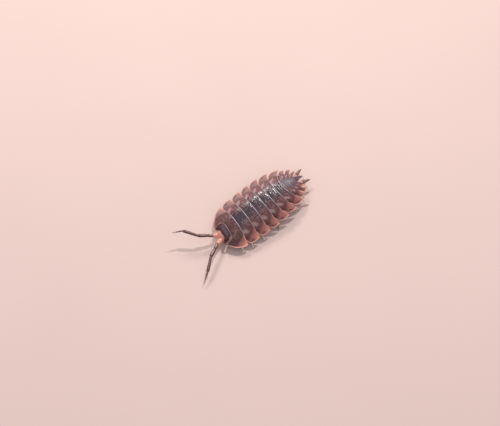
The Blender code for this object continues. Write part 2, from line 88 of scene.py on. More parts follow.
# Plates from the front: rear edge on the midline, rear corner, half width at that corner, sweep
# power of the rear edge, how much narrower the front corner is, how much wider the side bows
# forward of the rear corner, and the depth of the notch before the outer part
PLATES = {
    "pereonite_1": (2.90, 2.76, 3.50, 3.0, 1.70, 0.00, 0.00),
    "pereonite_2": (4.56, 4.76, 3.66, 2.6, 0.70, 0.12, 0.12),
    "pereonite_3": (6.13, 6.62, 3.72, 3.0, 0.65, 0.18, 0.12),
    "pereonite_4": (7.66, 8.24, 3.76, 3.0, 0.60, 0.14, 0.14),
    "pereonite_5": (9.00, 10.02, 3.67, 2.8, 0.45, 0.14, 0.14),
    "pereonite_6": (10.48, 11.70, 3.43, 2.6, 0.38, 0.20, 0.14),
    "pereonite_7": (11.66, 13.44, 2.93, 2.2, 0.44, 0.40, 0.14),
    "pleonite_1": (12.12, 12.18, 1.12, 2.0, 0.04, 0.00, 0.00),
    "pleonite_2": (12.50, 12.58, 1.78, 2.0, 0.04, 0.00, 0.00),
    "pleonite_3": (12.90, 13.93, 2.38, 1.9, 0.16, 0.20, 0.12),
    "pleonite_4": (13.38, 14.83, 1.85, 2.1, 0.14, 0.38, 0.12),
    "pleonite_5": (13.90, 15.20, 1.18, 2.3, 0.14, 0.46, 0.12),
}
NOTCH_START = 0.72
PLATE_GAP = 0.12
CORNER_POWER = 5.0
HORN_POWER = 2.3

# The two plates without side lobes reach farther out here, tucked under the plate before them
TUCKED = {"pleonite_1": 1.52, "pleonite_2": 1.22}
TELSON_WIDTH = 0.62
TELSON_POWER = 1.3
TELSON_TIP_WIDTH = 0.11

# The line where each plate's vaulted middle ends, as a share of the half width: at the plate's
# front and rear, and how much farther out it bows between
SHOULDER_SIDE = 0.58
SHOULDER_BOW = 0.11

# Head, the first plate's horns beside it, and the eyes
HEAD_FRONT_STATION = 0.40
HEAD_REAR_STATION = 1.42
HEAD_HALF_WIDTH = 1.42
HEAD_SIDE_FALL = 0.36
HEAD_UNDERSIDE = 1.05
LOBE_SPREAD = 1.12
LOBE_HALF_WIDTH = 0.38
HORN_STATION = 0.30
HORN_Y = 1.56
HORN_SWEEP_POWER = 7
FACE_CENTRE = (0.50, 0.0, 1.22)
FACE_RADII = (0.62, 1.00, 0.56)
EYE_CENTRE = (0.86, 1.20, 1.82)
EYE_RADII = (0.21, 0.13, 0.16)

# Feelers: joints from the face outward, as distance ahead of the lobe tips, y and z
FEELERS = {
    "left": ((0.24, 0.48, 1.08), (1.04, 0.76, 1.34), (1.80, 1.10, 1.42), (3.08, 1.72, 1.46),
             (4.78, 3.14, 0.92), (6.34, 4.08, 0.60)),
    "right": ((0.24, -0.48, 1.08), (0.74, -0.68, 1.36), (1.36, -1.08, 1.60), (2.62, -1.88, 1.90),
              (3.96, -3.60, 2.44), (5.42, -4.30, 2.50)),
}

# Legs: station of the socket under each plate, each foot's station and y, and the limb's route
SOCKETS = (1.75, 3.25, 4.85, 6.40, 7.85, 9.30, 10.70)
FEET = {
    "left": ((-0.90, 2.10), (1.40, 3.90), (2.95, 4.22), (5.05, 4.28), (7.55, 4.26), (13.80, 3.78),
             (15.25, 2.20)),
    "right": ((0.85, -2.25), (2.05, -3.15), (3.60, -3.60), (5.60, -3.75), (9.20, -3.95), (12.40, -3.50),
              (14.10, -2.65)),
}
SOCKET_Y = 1.80
KNEE_Y = 0.95
LIMB_HEIGHTS = ((0.18, 0.68), (0.42, 0.56), (0.68, 0.44), (0.88, 0.22))
LIMB_BENDS = {("left", 5): 0.55}

# Tail limbs and gill flaps
UROPOD_STUB = (14.34, 0.50, 0.96)
UROPOD_ELBOW = (14.94, 0.72, 1.03)
UROPOD_TIP = (16.20, 1.04, 1.00)
ENDOPOD_TIP = (15.50, 0.37, 0.90)
FLAP_FRONT = 11.78
FLAP_REAR = 14.06
FLAP_PAIRS = 5

# The photograph's frame, and where its picture shows the point between the lobe tips
FRAME_WIDTH_PX = 500
FRAME_HEIGHT_PX = 426
AIM_PX = (219.8, 235.0)
AIM_HEIGHT = 1.8
PX_PER_MM = 6.986
CAMERA_AZIMUTH = 133.4
CAMERA_ELEVATION = 64.9
CAMERA_ROLL = 7.47


def size(name, description, millimetres):
    """A length property whose default is given in millimetres."""
    return FloatProperty(
        name=name, description=description, default=millimetres * MM, min=0, unit="LENGTH", precision=5
    )


def colour(name, description, rgb):
    """A colour property with linear red, green and blue as its default."""
    return FloatVectorProperty(
        name=name, description=description, default=(*rgb, 1.0), size=4, min=0, max=1, subtype="COLOR"
    )


class ShellSizes(bpy.types.PropertyGroup):
    """Sizes of the shell plates."""

    thickness: size("Plate thickness", "Thickness of the seven large plates", 0.11)
    tail_thickness: size("Tail plate thickness", "Thickness of the short tail plates", 0.07)
    step: size("Plate step", "How far each large plate's front lies below the one before", 0.16)
    tail_step: size("Tail plate step", "How far each tail plate's front lies below the one before", 0.10)
    overlap: size("Overlap", "How far a plate reaches forward under the one before", 0.30)
    bead: size("Edge bead", "Width of the raised bead along each free edge", 0.075)
    bead_height: size("Edge bead height", "Height of that bead", 0.022)
    shoulder: size("Shoulder", "Height of the swelling at each side lobe's root", 0.026)
    granule: size("Granule radius", "Radius of the fine granules on the back", 0.056)
    granule_height: size("Granule height", "Height of those granules", 0.011)
    granules: IntProperty(name="Granules", description="Granules on each large plate", default=240, min=0)


class LimbSizes(bpy.types.PropertyGroup):
    """Sizes of the feelers, legs and tail limbs."""

    feeler: size("Feeler radius", "Radius of a feeler's long articles", 0.232)
    whip: size("Whip radius", "Radius of the last three short articles of a feeler", 0.105)
    leg: size("Leg radius", "Radius of a leg's first article", 0.20)
    bristle: size("Bristle length", "Length of the bristles on legs and feelers", 0.11)


class ShellColours(bpy.types.PropertyGroup):
    """Colours of the animal, linear."""

    slate: colour("Slate", "Blue-black middle of the back", (0.046, 0.029, 0.043))
    # Painted sheen: violet-grey for a band across the head's middle and on the rear of each tail plate
    steel: colour("Steel", "Violet-grey sheen of the head and the tail plates", (0.150, 0.116, 0.142))
    maroon: colour("Maroon", "Warm dark brown of the back's flanks", (0.165, 0.051, 0.053))
    blood: colour("Deep maroon", "Dark red-brown just outside the shoulders", (0.105, 0.026, 0.027))
    # This colour is the head's own red-black ground, and painted shade at the root of each side lobe
    hollow: colour("Hollow", "Dark red hollow at the root of each side lobe", (0.070, 0.014, 0.014))
    mauve: colour("Mauve", "Greyish brown of the first plate", (0.118, 0.042, 0.040))
    worm: colour("Marks", "Pale winding marks beside the midline", (0.46, 0.26, 0.25))
    lobe: colour("Side lobe", "Dusky pink-brown of the plates' side lobes", (0.4, 0.15, 0.135))
    # Painted shade: greyer, darker tinge of the right side lobes, which face the lamps
    right_lobe_shade: colour("Dusk", "Greyer tinge of the right side lobes", (0.22, 0.17, 0.17))
    orange: colour("Orange", "Translucent rear corners of the front side lobes", (0.8, 0.34, 0.22))
    # Painted highlight: a dusty pink oval on the top of the swelling at each side lobe's root
    patch: colour("Shoulder patch", "Dusty pink patch at the root of each side lobe", (0.44, 0.265, 0.26))
    rim: colour("Rim", "Pale rim of the side lobes", (0.84, 0.39, 0.31))
    bead: colour("Bead", "Grey-pink line along the rear edges", (0.74, 0.6, 0.62))
    under: colour("Underside", "Pale soft underside", (0.52, 0.40, 0.33))
    face: colour("Face", "Pale orange face and feeler roots", (0.76, 0.37, 0.29))
    feeler: colour("Feeler", "Dark brown of the feelers", (0.075, 0.033, 0.032))
    stripe: colour("Feeler stripe", "Pale stripe and joints of the feelers", (0.58, 0.38, 0.34))
    leg: colour("Leg", "Pale legs", (1.0, 0.8, 0.72))
    eye: colour("Eye", "Black eye beads", (0.008, 0.007, 0.009))


class StudioSetting(bpy.types.PropertyGroup):
    """Floor, light and camera."""

    floor: colour("Floor", "Plain pale floor", (0.675, 0.50, 0.465))
    fill: colour("Fill light", "Soft light from all round", (0.96, 0.97, 1.0))
    fill_strength: FloatProperty(name="Fill strength", description="Strength of the fill light", default=0.52)
    key_power: FloatProperty(
        name="Key power", description="Power of the key softbox", default=0.33, unit="POWER"
    )
    spark_power: FloatProperty(
        name="Spark power", description="Power of the small crisp lamp", default=0.33, unit="POWER"
    )
    lamp_distance: size("Lamp distance", "Distance of the key softbox and the small lamp", 260.0)
    camera_distance: size("Camera distance", "Distance of the camera", 560.0)


def step01(low, high, value):
    """Smooth step: 0 below low, 1 above high, and 3t^2 - 2t^3 between."""
    t = np.clip((value - low) / (high - low), 0, 1)
    return t * t * (3 - 2 * t)


def bell(value, centre, width):
    """Gauss bell: e to the minus ((value - centre) / width) squared."""
    return np.exp(-(((value - centre) / width) ** 2))


def spread(count, crowding):
    """Numbers from 0 to 1, crowded to both ends by taking a sine wave off the straight line."""
    x = np.linspace(0, 1, count)
    return x - crowding * np.sin(2 * np.pi * x) / (2 * np.pi)


def place(station, y, z):
    """Points in the frame, in millimetres, from arrays of station, y and z."""
    return np.stack(np.broadcast_arrays(LOBE_X - np.asarray(station), y, z), axis=-1).astype(float)


def crest(station):
    """Height of the back's midline: a power curve falling to each end from the highest point."""
    ahead = np.clip((CREST_STATION - station) / CREST_STATION, 0, None)
    behind = np.clip((station - CREST_STATION) / (TAIL_STATION - CREST_STATION), 0, None)
    return CREST_HEIGHT - FRONT_CREST_DROP * ahead**CREST_POWER - TAIL_CREST_DROP * behind**CREST_POWER


def outline(station):
    """Half width of the smooth outline round all plates: a superellipse to each end."""
    ahead = np.clip((WIDEST_STATION - station) / WIDEST_STATION, 0, 0.98)
    behind = (station - WIDEST_STATION) / (OUTLINE_REAR_STATION - WIDEST_STATION)
    share = np.maximum(ahead, np.clip(behind, 0, 0.98))
    return HALF_WIDTH * (1 - share**OUTLINE_POWER) ** (1 / OUTLINE_POWER)


def rim(station):
    """Height of the plates' side margins, raised by a Gauss bell behind the middle."""
    return RIM_HEIGHT + RIM_LIFT * bell(station, RIM_LIFT_STATION, RIM_LIFT_SPREAD)


def back(station, y):
    """Height of the vaulted back: a mix of a cosine bell and a parabola across the body."""
    across = np.clip(np.abs(y) / outline(station), 0, 1)
    vault = 0.65 * 0.5 * (1 + np.cos(np.pi * across**VAULT_POWER)) + 0.35 * (1 - across**2)
    return rim(station) + (crest(station) - rim(station)) * vault


def belly(station):
    """Height of the flat belly, a little lower under the tail."""
    front, rear = PLEON_BELLY_STATIONS
    share = np.clip((station - front) / (rear - front), 0, 1)
    return BELLY_HEIGHT + (PLEON_BELLY_HEIGHT - BELLY_HEIGHT) * share


def turned(station, y):
    """How far forward the slight turn of the head and front plates carries a point at y."""
    return FRONT_TURN * np.clip(1 - station / TURN_END, 0, None) * y


def rear_edge(name, y):
    """Station of a plate's rear edge: from the midline to the corner by a power of y."""
    middle, corner, half_width, power = PLATES[name][:4]
    across = np.minimum(np.abs(y) / half_width, 1)
    return middle + (corner - middle) * across**power - turned(middle, y)


def side_line(name, share):
    """Half width of a plate along its side: wider forward in a line, then rounded off by a power."""
    half_width, narrowing, bow = PLATES[name][2], PLATES[name][4], PLATES[name][5]
    power = HORN_POWER if name == "pereonite_1" else CORNER_POWER
    return half_width + bow * (1 - share) - narrowing * (1 - share) ** power


def head_rear_edge(y):
    """The head's rear edge: a power forward to each side, then the first plate's horn tips."""
    sweep = (HEAD_REAR_STATION - HORN_STATION) * (np.abs(y) / HORN_Y) ** HORN_SWEEP_POWER
    return np.maximum(HEAD_REAR_STATION - sweep, HORN_STATION) - turned(HEAD_REAR_STATION, y)


def front_edge(name, y):
    """The farthest rear edge of all earlier plates, then bent back to a notch further out."""
    order = list(PLATES)
    reach = head_rear_edge(y)
    for earlier in order[: order.index(name)]:
        reach = np.maximum(reach, rear_edge(earlier, y))
    half_width, notch = PLATES[name][2], PLATES[name][6]
    outer = np.clip((np.abs(y) / half_width - NOTCH_START) / (1 - NOTCH_START), 0, None)
    return reach + (notch + PLATE_GAP) * outer**1.2


def head_front_edge(y):
    """The head's front edge: two rounded side lobes, and a low point in the middle."""
    lobe = np.clip(1 - np.abs((np.abs(y) - LOBE_SPREAD) / LOBE_HALF_WIDTH) ** 1.8, 0, 1)
    return HEAD_FRONT_STATION * (1 - lobe) - 0.05 * bell(y, 0, 0.22) - turned(0, y)


def head_back(station, y):
    """The head's top, flatter across than the rest of the back."""
    return crest(station) - HEAD_SIDE_FALL * (np.abs(y) / HEAD_HALF_WIDTH) ** 2.4


class Form:
    """Points, faces and per-point values of one piece, collected from its surfaces."""

    def __init__(self, *value_names):
        self.points = []
        self.faces = []
        self.values = {name: [] for name in value_names}
        self.count = 0

    def add(self, points, faces, **values):
        """Append a surface; a value is an array with one number a point, or one number for all."""
        points = np.asarray(points, dtype=float).reshape(-1, 3)
        self.points.append(points)
        self.faces += [[corner + self.count for corner in face] for face in faces]
        for name, kept in self.values.items():
            kept.append(np.broadcast_to(np.ravel(values.get(name, 0.0)), (len(points),)))
        self.count += len(points)

    def piece(self, name, finish, slot, nodes, merge=0.0005):
        """The finished object: welded, facing out, smooth, riding on the body it belongs to."""
        mesh = bpy.data.meshes.new(name)
        mesh.from_pydata((np.concatenate(self.points) * MM).tolist(), [], self.faces)
        for value_name, kept in self.values.items():
            layer = mesh.attributes.new(value_name, "FLOAT", "POINT")
            layer.data.foreach_set("value", np.concatenate(kept).astype(np.float32))
        edit = bmesh.new()
        edit.from_mesh(mesh)
        bmesh.ops.remove_doubles(edit, verts=edit.verts, dist=merge * MM)
        bmesh.ops.recalc_face_normals(edit, faces=edit.faces)
        edit.to_mesh(mesh)
        edit.free()
        mesh.shade_smooth()
        mesh.materials.append(finish)
        made = bpy.data.objects.new(name, mesh)
        bpy.context.scene.collection.objects.link(made)
        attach(made, "root")
        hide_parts(*nodes)
        return made


def slab(top, bottom):
    """A closed solid between two grids of one shape: both grids, and a wall round their edge."""
    rows, columns, _ = top.shape
    index = np.arange(rows * columns).reshape(rows, columns)
    under = index + rows * columns
    layers = [
        np.stack([layer[:-1, :-1], layer[1:, :-1], layer[1:, 1:], layer[:-1, 1:]], axis=-1).reshape(-1, 4)
        for layer in (index, under[:, ::-1])
    ]
    around = np.concatenate([index[0, :-1], index[:-1, -1], index[-1, :0:-1], index[:0:-1, 0]])
    after = np.roll(around, -1)
    wall = np.stack([after, around, around + rows * columns, after + rows * columns], axis=-1)
    points = np.concatenate([top.reshape(-1, 3), bottom.reshape(-1, 3)])
    return points, np.concatenate([*layers, wall]).tolist()


def globe(segments, rings):
    """Points and faces of a unit ball: polar angle down the rings, turn round the segments."""
    polar = np.pi * np.arange(1, rings) / rings
    turn = 2 * np.pi * np.arange(segments) / segments
    ring = np.stack(
        [np.sin(polar)[:, None] * np.cos(turn), np.sin(polar)[:, None] * np.sin(turn),
         np.broadcast_to(np.cos(polar)[:, None], (rings - 1, segments))], axis=-1,
    )
    points = np.concatenate([ring.reshape(-1, 3), [[0, 0, 1], [0, 0, -1]]])
    return points, ring_faces(rings - 1, segments)


def ring_faces(rings, sides):
    """Faces round a stack of rings, with a pole after the last ring's points for each end."""
    index = np.arange(rings * sides).reshape(rings, sides)
    after = np.roll(index, -1, axis=1)
    body = np.stack([index[:-1], index[1:], after[1:], after[:-1]], axis=-1).reshape(-1, 4).tolist()
    first, last = rings * sides, rings * sides + 1
    start = [[first, a, b] for a, b in zip(index[0], after[0])]
    end = [[last, b, a] for a, b in zip(index[-1], after[-1])]
    return body + start + end


def axes_along(direction, up=(0, 0, 1)):
    """Three unit vectors: the direction, one level across it, and one across both."""
    along = np.asarray(direction, float) / np.linalg.norm(direction)
    across = np.cross(up, along)
    across /= np.linalg.norm(across)
    return along, across, np.cross(along, across)


def article(start, end, radius, sides=16, rings=18, flat=1.0, bow=0.0, flute=0.0, round_end=0.12):
    """One limb article round the line from start to end, with its distance along and turn.

    The radius is a function of the share t of the length. Both ends close like a ball: the
    radius is multiplied by the root of 1 - (1 - t/e)^2 within e of each end. Flat squeezes it
    from top to bottom, bow lifts its middle by a sine, and flute adds waves round it.
    """
    start, end = np.asarray(start, float), np.asarray(end, float)
    along, across, above = axes_along(end - start)
    t = spread(rings + 2, 0.9)[1:-1][:, None]
    turn = (2 * np.pi * np.arange(sides) / sides)[None, :]
    close = np.sqrt(np.clip(1 - np.clip(1 - np.minimum(t, 1 - t) / round_end, 0, 1) ** 2, 0, 1))
    wave = 1 + flute * np.cos(5 * turn) * np.sin(np.pi * t)
    spoke = radius(t) * close * wave
    centre = start + (end - start) * t[..., None] + above * (bow * np.sin(np.pi * t))[..., None]
    ring = centre + spoke[..., None] * (
        np.cos(turn)[..., None] * across + flat * np.sin(turn)[..., None] * above
    )
    points = np.concatenate([ring.reshape(-1, 3), [start, end]])
    values = {
        "along": np.concatenate([np.broadcast_to(t, (rings, sides)).ravel(), [0, 1]]),
        "turn": np.concatenate([np.broadcast_to(turn, (rings, sides)).ravel() / (2 * np.pi), [0.5, 0.5]]),
    }
    return points, ring_faces(rings, sides), values


def bristles(roots, directions, length, radius):
    """Thin three-sided spines: a triangle round each root and a tip along its direction."""
    roots, directions = np.asarray(roots, float), np.asarray(directions, float)
    directions = directions / np.linalg.norm(directions, axis=1)[:, None]
    helper = np.where(np.abs(directions[:, 2:3]) > 0.9, (1.0, 0.0, 0.0), (0.0, 0.0, 1.0))
    across = np.cross(directions, helper)
    across /= np.linalg.norm(across, axis=1)[:, None]
    above = np.cross(directions, across)
    turns = 2 * np.pi * np.arange(3) / 3
    base = roots[:, None] + radius * (
        np.cos(turns)[None, :, None] * across[:, None] + np.sin(turns)[None, :, None] * above[:, None]
    )
    length = np.broadcast_to(length, (len(roots),))
    tips = roots + directions * length[:, None]
    points = np.concatenate([base, tips[:, None]], axis=1).reshape(-1, 3)
    first = 4 * np.arange(len(roots))[:, None]
    faces = [(first + corners).tolist() for corners in ((0, 1, 3), (1, 2, 3), (2, 0, 3), (2, 1, 0))]
    return points, sum(faces, [])


def copies(points, faces, centres, matrices):
    """One small shape repeated: each copy is turned and stretched by its matrix, then moved."""
    placed = np.einsum("nij,pj->npi", np.asarray(matrices, float), points) + np.asarray(centres)[:, None]
    shift = len(points) * np.arange(len(centres))
    together = [[corner + offset for corner in face] for offset in shift.tolist() for face in faces]
    return placed.reshape(-1, 3), together


def smooth_path(points, count):
    """Points spread evenly along a Catmull-Rom curve through the given ones."""
    given = np.asarray(points, dtype=float)
    padded = np.vstack([2 * given[0] - given[1], given, 2 * given[-1] - given[-2]])
    t = np.linspace(0, 1, 24, endpoint=False)[None, :, None]
    p0, p1, p2, p3 = (padded[i : len(padded) - 3 + i][:, None] for i in range(4))
    fine = 0.5 * (2 * p1 + (p2 - p0) * t + (2 * p0 - 5 * p1 + 4 * p2 - p3) * t**2
                  + (3 * p1 - p0 - 3 * p2 + p3) * t**3)
    fine = np.concatenate([fine.reshape(-1, 3), given[-1:]])
    length = np.concatenate([[0], np.cumsum(np.linalg.norm(np.diff(fine, axis=0), axis=1))])
    wanted = np.linspace(0, length[-1], count) if np.isscalar(count) else np.asarray(count) * length[-1]
    return np.stack([np.interp(wanted, length, fine[:, axis]) for axis in range(3)], axis=1)


class Value:
    """A number inside a material. Arithmetic on it adds Math nodes there."""

    def __init__(self, finish, socket):
        self.finish = finish
        self.socket = socket

    def __add__(self, other):
        return self.finish.math("ADD", self, other)

    __radd__ = __add__

    def __sub__(self, other):
        return self.finish.math("SUBTRACT", self, other)

    def __rsub__(self, other):
        return self.finish.math("SUBTRACT", other, self)

    def __mul__(self, other):
        return self.finish.math("MULTIPLY", self, other)

    __rmul__ = __mul__

    def __truediv__(self, other):
        return self.finish.math("DIVIDE", self, other)

    def __pow__(self, other):
        return self.finish.math("POWER", self, other)

    def __abs__(self):
        return self.finish.math("ABSOLUTE", self)


class Finish:
    """A material under construction: a Principled shader and the nodes that feed it."""

    def __init__(self, name, **constants):
        self.material = bpy.data.materials.new(name)
        self.material.use_nodes = True
        self.tree = self.material.node_tree
        self.shader = self.tree.nodes["Principled BSDF"]
        for words, value in constants.items():
            self.shader.inputs[words.replace("_", " ").title().replace("Ior", "IOR")].default_value = value
        place_node = self.node("ShaderNodeTexCoord", {}, {}, "Object")
        self.where = self.node("ShaderNodeVectorMath", {"operation": "SCALE"}, {0: place_node, "Scale": 1 / MM})

    def node(self, kind, settings, sockets, output=0):
        """Any node: its settings first, then the values or links of its sockets."""
        made = self.tree.nodes.new(kind)
        for key, value in settings.items():
            setattr(made, key, value)
        for key, value in sockets.items():
            if isinstance(value, Value):
                self.tree.links.new(value.socket, made.inputs[key])
            else:
                made.inputs[key].default_value = value
        return Value(self, made.outputs[output])

    def math(self, operation, *values):
        return self.node("ShaderNodeMath", {"operation": operation}, dict(enumerate(values)))

    def step(self, low, high, value):
        """Smooth step of a value between two numbers."""
        sockets = {"Value": value, "From Min": low, "From Max": high}
        return self.node("ShaderNodeMapRange", {"interpolation_type": "SMOOTHSTEP"}, sockets)

    def bell(self, value, centre, width):
        """Gauss bell of a value."""
        away = (value - centre) / width
        return self.math("EXPONENT", away * away * -1.0)

    def mix(self, share, first, second):
        """The first colour where the share is 0 and the second where it is 1."""
        settings = {"data_type": "RGBA", "clamp_factor": True}
        return self.node("ShaderNodeMix", settings, {0: share, 6: first, 7: second}, 2)

    def value(self, name):
        """A number kept on the mesh's points."""
        return self.node("ShaderNodeAttribute", {"attribute_name": name}, {}, "Fac")

    def stretched(self, factors, moved=(0.0, 0.0, 0.0)):
        """The place in millimetres, stretched along X, Y and Z."""
        settings = {"operation": "MULTIPLY_ADD"}
        return self.node("ShaderNodeVectorMath", settings, {0: self.where, 1: factors, 2: moved})

    def noise(self, scale, detail=2.0, where=None, rough=0.5):
        """Cloudy noise from about 0.2 to 0.8; scale is in waves a millimetre."""
        sockets = {"Vector": where or self.where, "Scale": scale, "Detail": detail, "Roughness": rough}
        return self.node("ShaderNodeTexNoise", {}, sockets)

    def cells(self, scale, feature="F1", where=None):
        """Distance inside Voronoi cells; scale is in cells a millimetre."""
        sockets = {"Vector": where or self.where, "Scale": scale}
        return self.node("ShaderNodeTexVoronoi", {"feature": feature}, sockets, "Distance")

    def across(self):
        """Distance to the animal's left of its midline, in millimetres."""
        return self.node("ShaderNodeSeparateXYZ", {}, {0: self.where}, "Y")

    def relief(self, height, distance):
        """A bump whose height of 1 is the distance, in millimetres."""
        sockets = {"Height": height, "Distance": distance * MM, "Strength": 1.0}
        return self.node("ShaderNodeBump", {}, sockets)

    def done(self, **links):
        """Link what varies to the shader and return the material."""
        for words, value in links.items():
            self.tree.links.new(value.socket, self.shader.inputs[words.replace("_", " ").title()])
        return self.material


def tuple4(rgba):
    """A property's colour as plain numbers."""
    return tuple(rgba)


def shell_finish(colours):
    """Glossy chitin of the back: slate ridge, brown flanks, dusky side lobes, pale edges, and painted shade, sheen and
    highlights.

    It reads each point's share of the half width (side), share of the plate's length (along),
    distance outside the shoulder line (off), to a free edge and to the rear edge in millimetres,
    and the plate's number.
    """
    paint = Finish("chitin_shell", ior=1.47, subsurface_weight=0.08, subsurface_scale=0.3 * MM)
    side, along, off = paint.value("side"), paint.value("along"), paint.value("off")
    edge, rear, plate = paint.value("edge"), paint.value("rear"), paint.value("plate")
    cloud, fine, grit = paint.noise(1.1, 3), paint.noise(9.0, 3), paint.noise(3.4, 2)
    broken = paint.step(0.40, 0.56, paint.noise(2.8, 1, paint.stretched((1, 1, 1), (7, 3, 5))))
    large = 1 - paint.step(7.2, 7.8, plate)

    flank = paint.step(0.14, 0.50, side + (cloud - 0.5) * 0.45)
    tone = paint.mix(flank * 0.97, tuple4(colours.slate), tuple4(colours.maroon))
    first = 1 - paint.step(1.2, 1.8, plate)
    tone = paint.mix(first * (0.80 + 0.20 * flank), tone, tuple4(colours.mauve))
    streak = first * paint.bell(side, 0.05, 0.16) * paint.step(0.75, 0.15, along)
    tone = paint.mix(streak * 0.75, tone, tuple4(colours.blood))
    core = first * paint.bell(side, 0.50, 0.11) * paint.bell(along, 0.50, 0.35)
    tone = paint.mix(core * 0.55, tone, tuple4(colours.blood))
    # Painted sheen: a violet-grey band on the rear of each tail plate's middle
    band = (1 - large) * (1 - 0.7 * flank) * paint.bell(along, 0.60, 0.20)
    tone = paint.mix(band * 0.85, tone, tuple4(colours.steel))

    winding = abs(paint.noise(4.6, 0.5, paint.stretched((1.0, 0.8, 0.8))) - 0.5)
    strokes = (1 - paint.step(0.015, 0.050, winding)) * broken
    field = paint.bell(side, 0.34, 0.17) * paint.bell(along, 0.52, 0.38) * large
    tone = paint.mix(strokes * field * (0.62 + 0.25 * first), tone, tuple4(colours.worm))
    pits = paint.step(0.47, 0.60, grit) * (0.75 + 0.25 * field) * (1 - 0.4 * first) * (0.25 + 0.75 * large)
    tone = paint.mix(pits * 0.80, tone, tuple4(colours.slate))
    dust = paint.step(0.50, 0.62, paint.noise(5.0, 2, paint.stretched((1, 1, 1), (3, 9, 1))))
    dust = dust * paint.bell(along, 0.55, 0.50) * (0.2 + 0.8 * large)
    tone = paint.mix(dust * (0.20 + 0.22 * field), tone, tuple4(colours.worm))

    lobe = paint.step(-0.04, 0.30, off + (along - 0.5) * 0.25)
    outward = paint.step(-0.05, 0.85, off + (cloud - 0.5) * 0.7 + (along - 0.35) * 0.9)
    lobe_tone = paint.mix(outward, tuple4(colours.blood), tuple4(colours.lobe))
    # Painted shade: dark red over the front of each side lobe, near its root
    recess_shade = paint.bell(along, 0.15, 0.17) * paint.bell(off, 0.34, 0.38) * paint.step(1.5, 2.0, plate)
    lobe_tone = paint.mix(recess_shade, lobe_tone, tuple4(colours.hollow))
    front_plates = 1 - paint.step(2.4, 5.4, plate)
    corner = paint.step(0.72, 0.97, side) * paint.step(0.50, 0.92, along)
    lobe_tone = paint.mix(corner * (0.12 + 0.68 * front_plates), lobe_tone, tuple4(colours.orange))
    # Painted shade: the right side, which faces the key lamp and the small lamp, gets greyer lobes and a dimmer rim
    right = 1 - paint.step(-0.5, 0.5, paint.across())
    lobe_tone = paint.mix(right * 0.55, lobe_tone, tuple4(colours.right_lobe_shade))
    tone = paint.mix(lobe * (0.90 + 0.4 * (fine - 0.5)), tone, lobe_tone)
    spot = paint.bell(side, 0.900, 0.026) * paint.bell(along, 0.42, 0.12) * large
    tone = paint.mix(spot * 0.95, tone, tuple4(colours.slate))

    # Painted highlight: a dusty pink oval on the top of the shoulder swelling, slanted outward and rearward
    outer, behind = (side - 0.535) * 3.7, (along - 0.21) * 1.6
    length, breadth = (0.58 * outer + 0.82 * behind) / 0.56, (0.82 * outer - 0.58 * behind) / 0.27
    patch = (1 - paint.step(0.0, 1.60, length * length + breadth * breadth)) * paint.step(1.5, 2.0, plate)
    tone = paint.mix(patch * (0.74 + 1.2 * (fine - 0.5)), tone, tuple4(colours.patch))

    # Painted shade: a dark red line in the groove inside the lobe's pale rim, strongest towards the front
    inner_groove_shade = paint.bell(edge, 0.165, 0.06) * lobe * paint.bell(along, 0.30, 0.38)
    tone = paint.mix(inner_groove_shade * 0.85, tone, tuple4(colours.blood))
    margin = paint.step(-0.25, 0.35, off)
    wide = 0.062 + 0.040 * first
    rim = (1 - paint.step(0.0, 0.055, edge - wide)) * paint.math("MAXIMUM", margin, first * 0.6 * paint.step(0.6, 0.2, along))
    # The pale rim is its own colour; it is dimmed on the right side as painted shade
    tone = paint.mix(rim * (0.9 - 0.35 * right), tone, tuple4(colours.rim))
    # Painted shade: a dark line in the groove just in front of the rear edge's bead
    line = paint.bell(rear, 0.165, 0.050) * (1 - lobe)
    tone = paint.mix(line * 0.85, tone, tuple4(colours.slate))
    # The pale rear bead is its own colour; its brightening towards the midline is a painted highlight
    bead = (1 - paint.step(0.065, 0.105, rear)) * (1 - lobe * 0.8)
    tone = paint.mix(bead * (0.95 - 0.50 * flank) * (0.55 + 0.45 * large), tone, tuple4(colours.bead))
    tone = paint.mix(paint.value("under") * 0.8, tone, tuple4(colours.under))

    dots = 1 - paint.step(0.10, 0.42, paint.cells(6.5))
    grain = paint.noise(15.0, 1) * 0.35 + dots * 0.65
    roughness = 0.16 + 0.18 * flank + 0.16 * (fine - 0.3) + 0.10 * lobe + 0.16 * (1 - large)
    relief = paint.relief(grain * (1 - 0.6 * lobe) * (0.05 + 0.95 * large), 0.005)
    return paint.done(base_color=tone, roughness=roughness, normal=relief)


def head_finish(colours):
    """Red-black head, with a painted violet-grey sheen in a band across its middle, painted shade in the groove before
    its rear edge, and a pale line along its rear, brightened near the midline as a painted highlight.
    """
    paint = Finish("chitin_head", ior=1.38)
    rear, edge = paint.value("rear"), paint.value("edge")
    cloud, fine = paint.noise(1.6, 3), paint.noise(11.0, 3)
    tone = paint.mix(paint.step(0.35, 0.75, cloud) * 0.5, tuple4(colours.hollow), tuple4(colours.eye))
    aside = abs(paint.across())
    shine = paint.bell(paint.across(), -0.20, 0.55)
    # Painted sheen: a violet-grey band across the head's middle
    band = paint.bell(rear, 0.55, 0.30) * paint.step(0.10, 0.35, edge) * (1 - paint.step(0.75, 1.10, aside))
    tone = paint.mix(band * (0.30 + 0.5 * cloud), tone, tuple4(colours.steel))
    # Painted shade: a dark line in the groove in front of the rear edge
    tone = paint.mix(paint.bell(rear, 0.17, 0.05) * 0.6, tone, tuple4(colours.slate))
    # The pale rear line, brightened near the midline as a painted highlight
    line = (1 - paint.step(0.055, 0.100, rear)) * (0.50 + 0.50 * shine)
    tone = paint.mix(line, tone, tuple4(colours.bead))
    tone = paint.mix((1 - paint.step(0.02, 0.07, edge)) * 0.15, tone, tuple4(colours.bead))
    grain = paint.noise(22.0, 2) * 0.7 + paint.cells(12.0) * 0.3
    return paint.done(base_color=tone, roughness=0.32 + 0.2 * fine, normal=paint.relief(grain, 0.007))


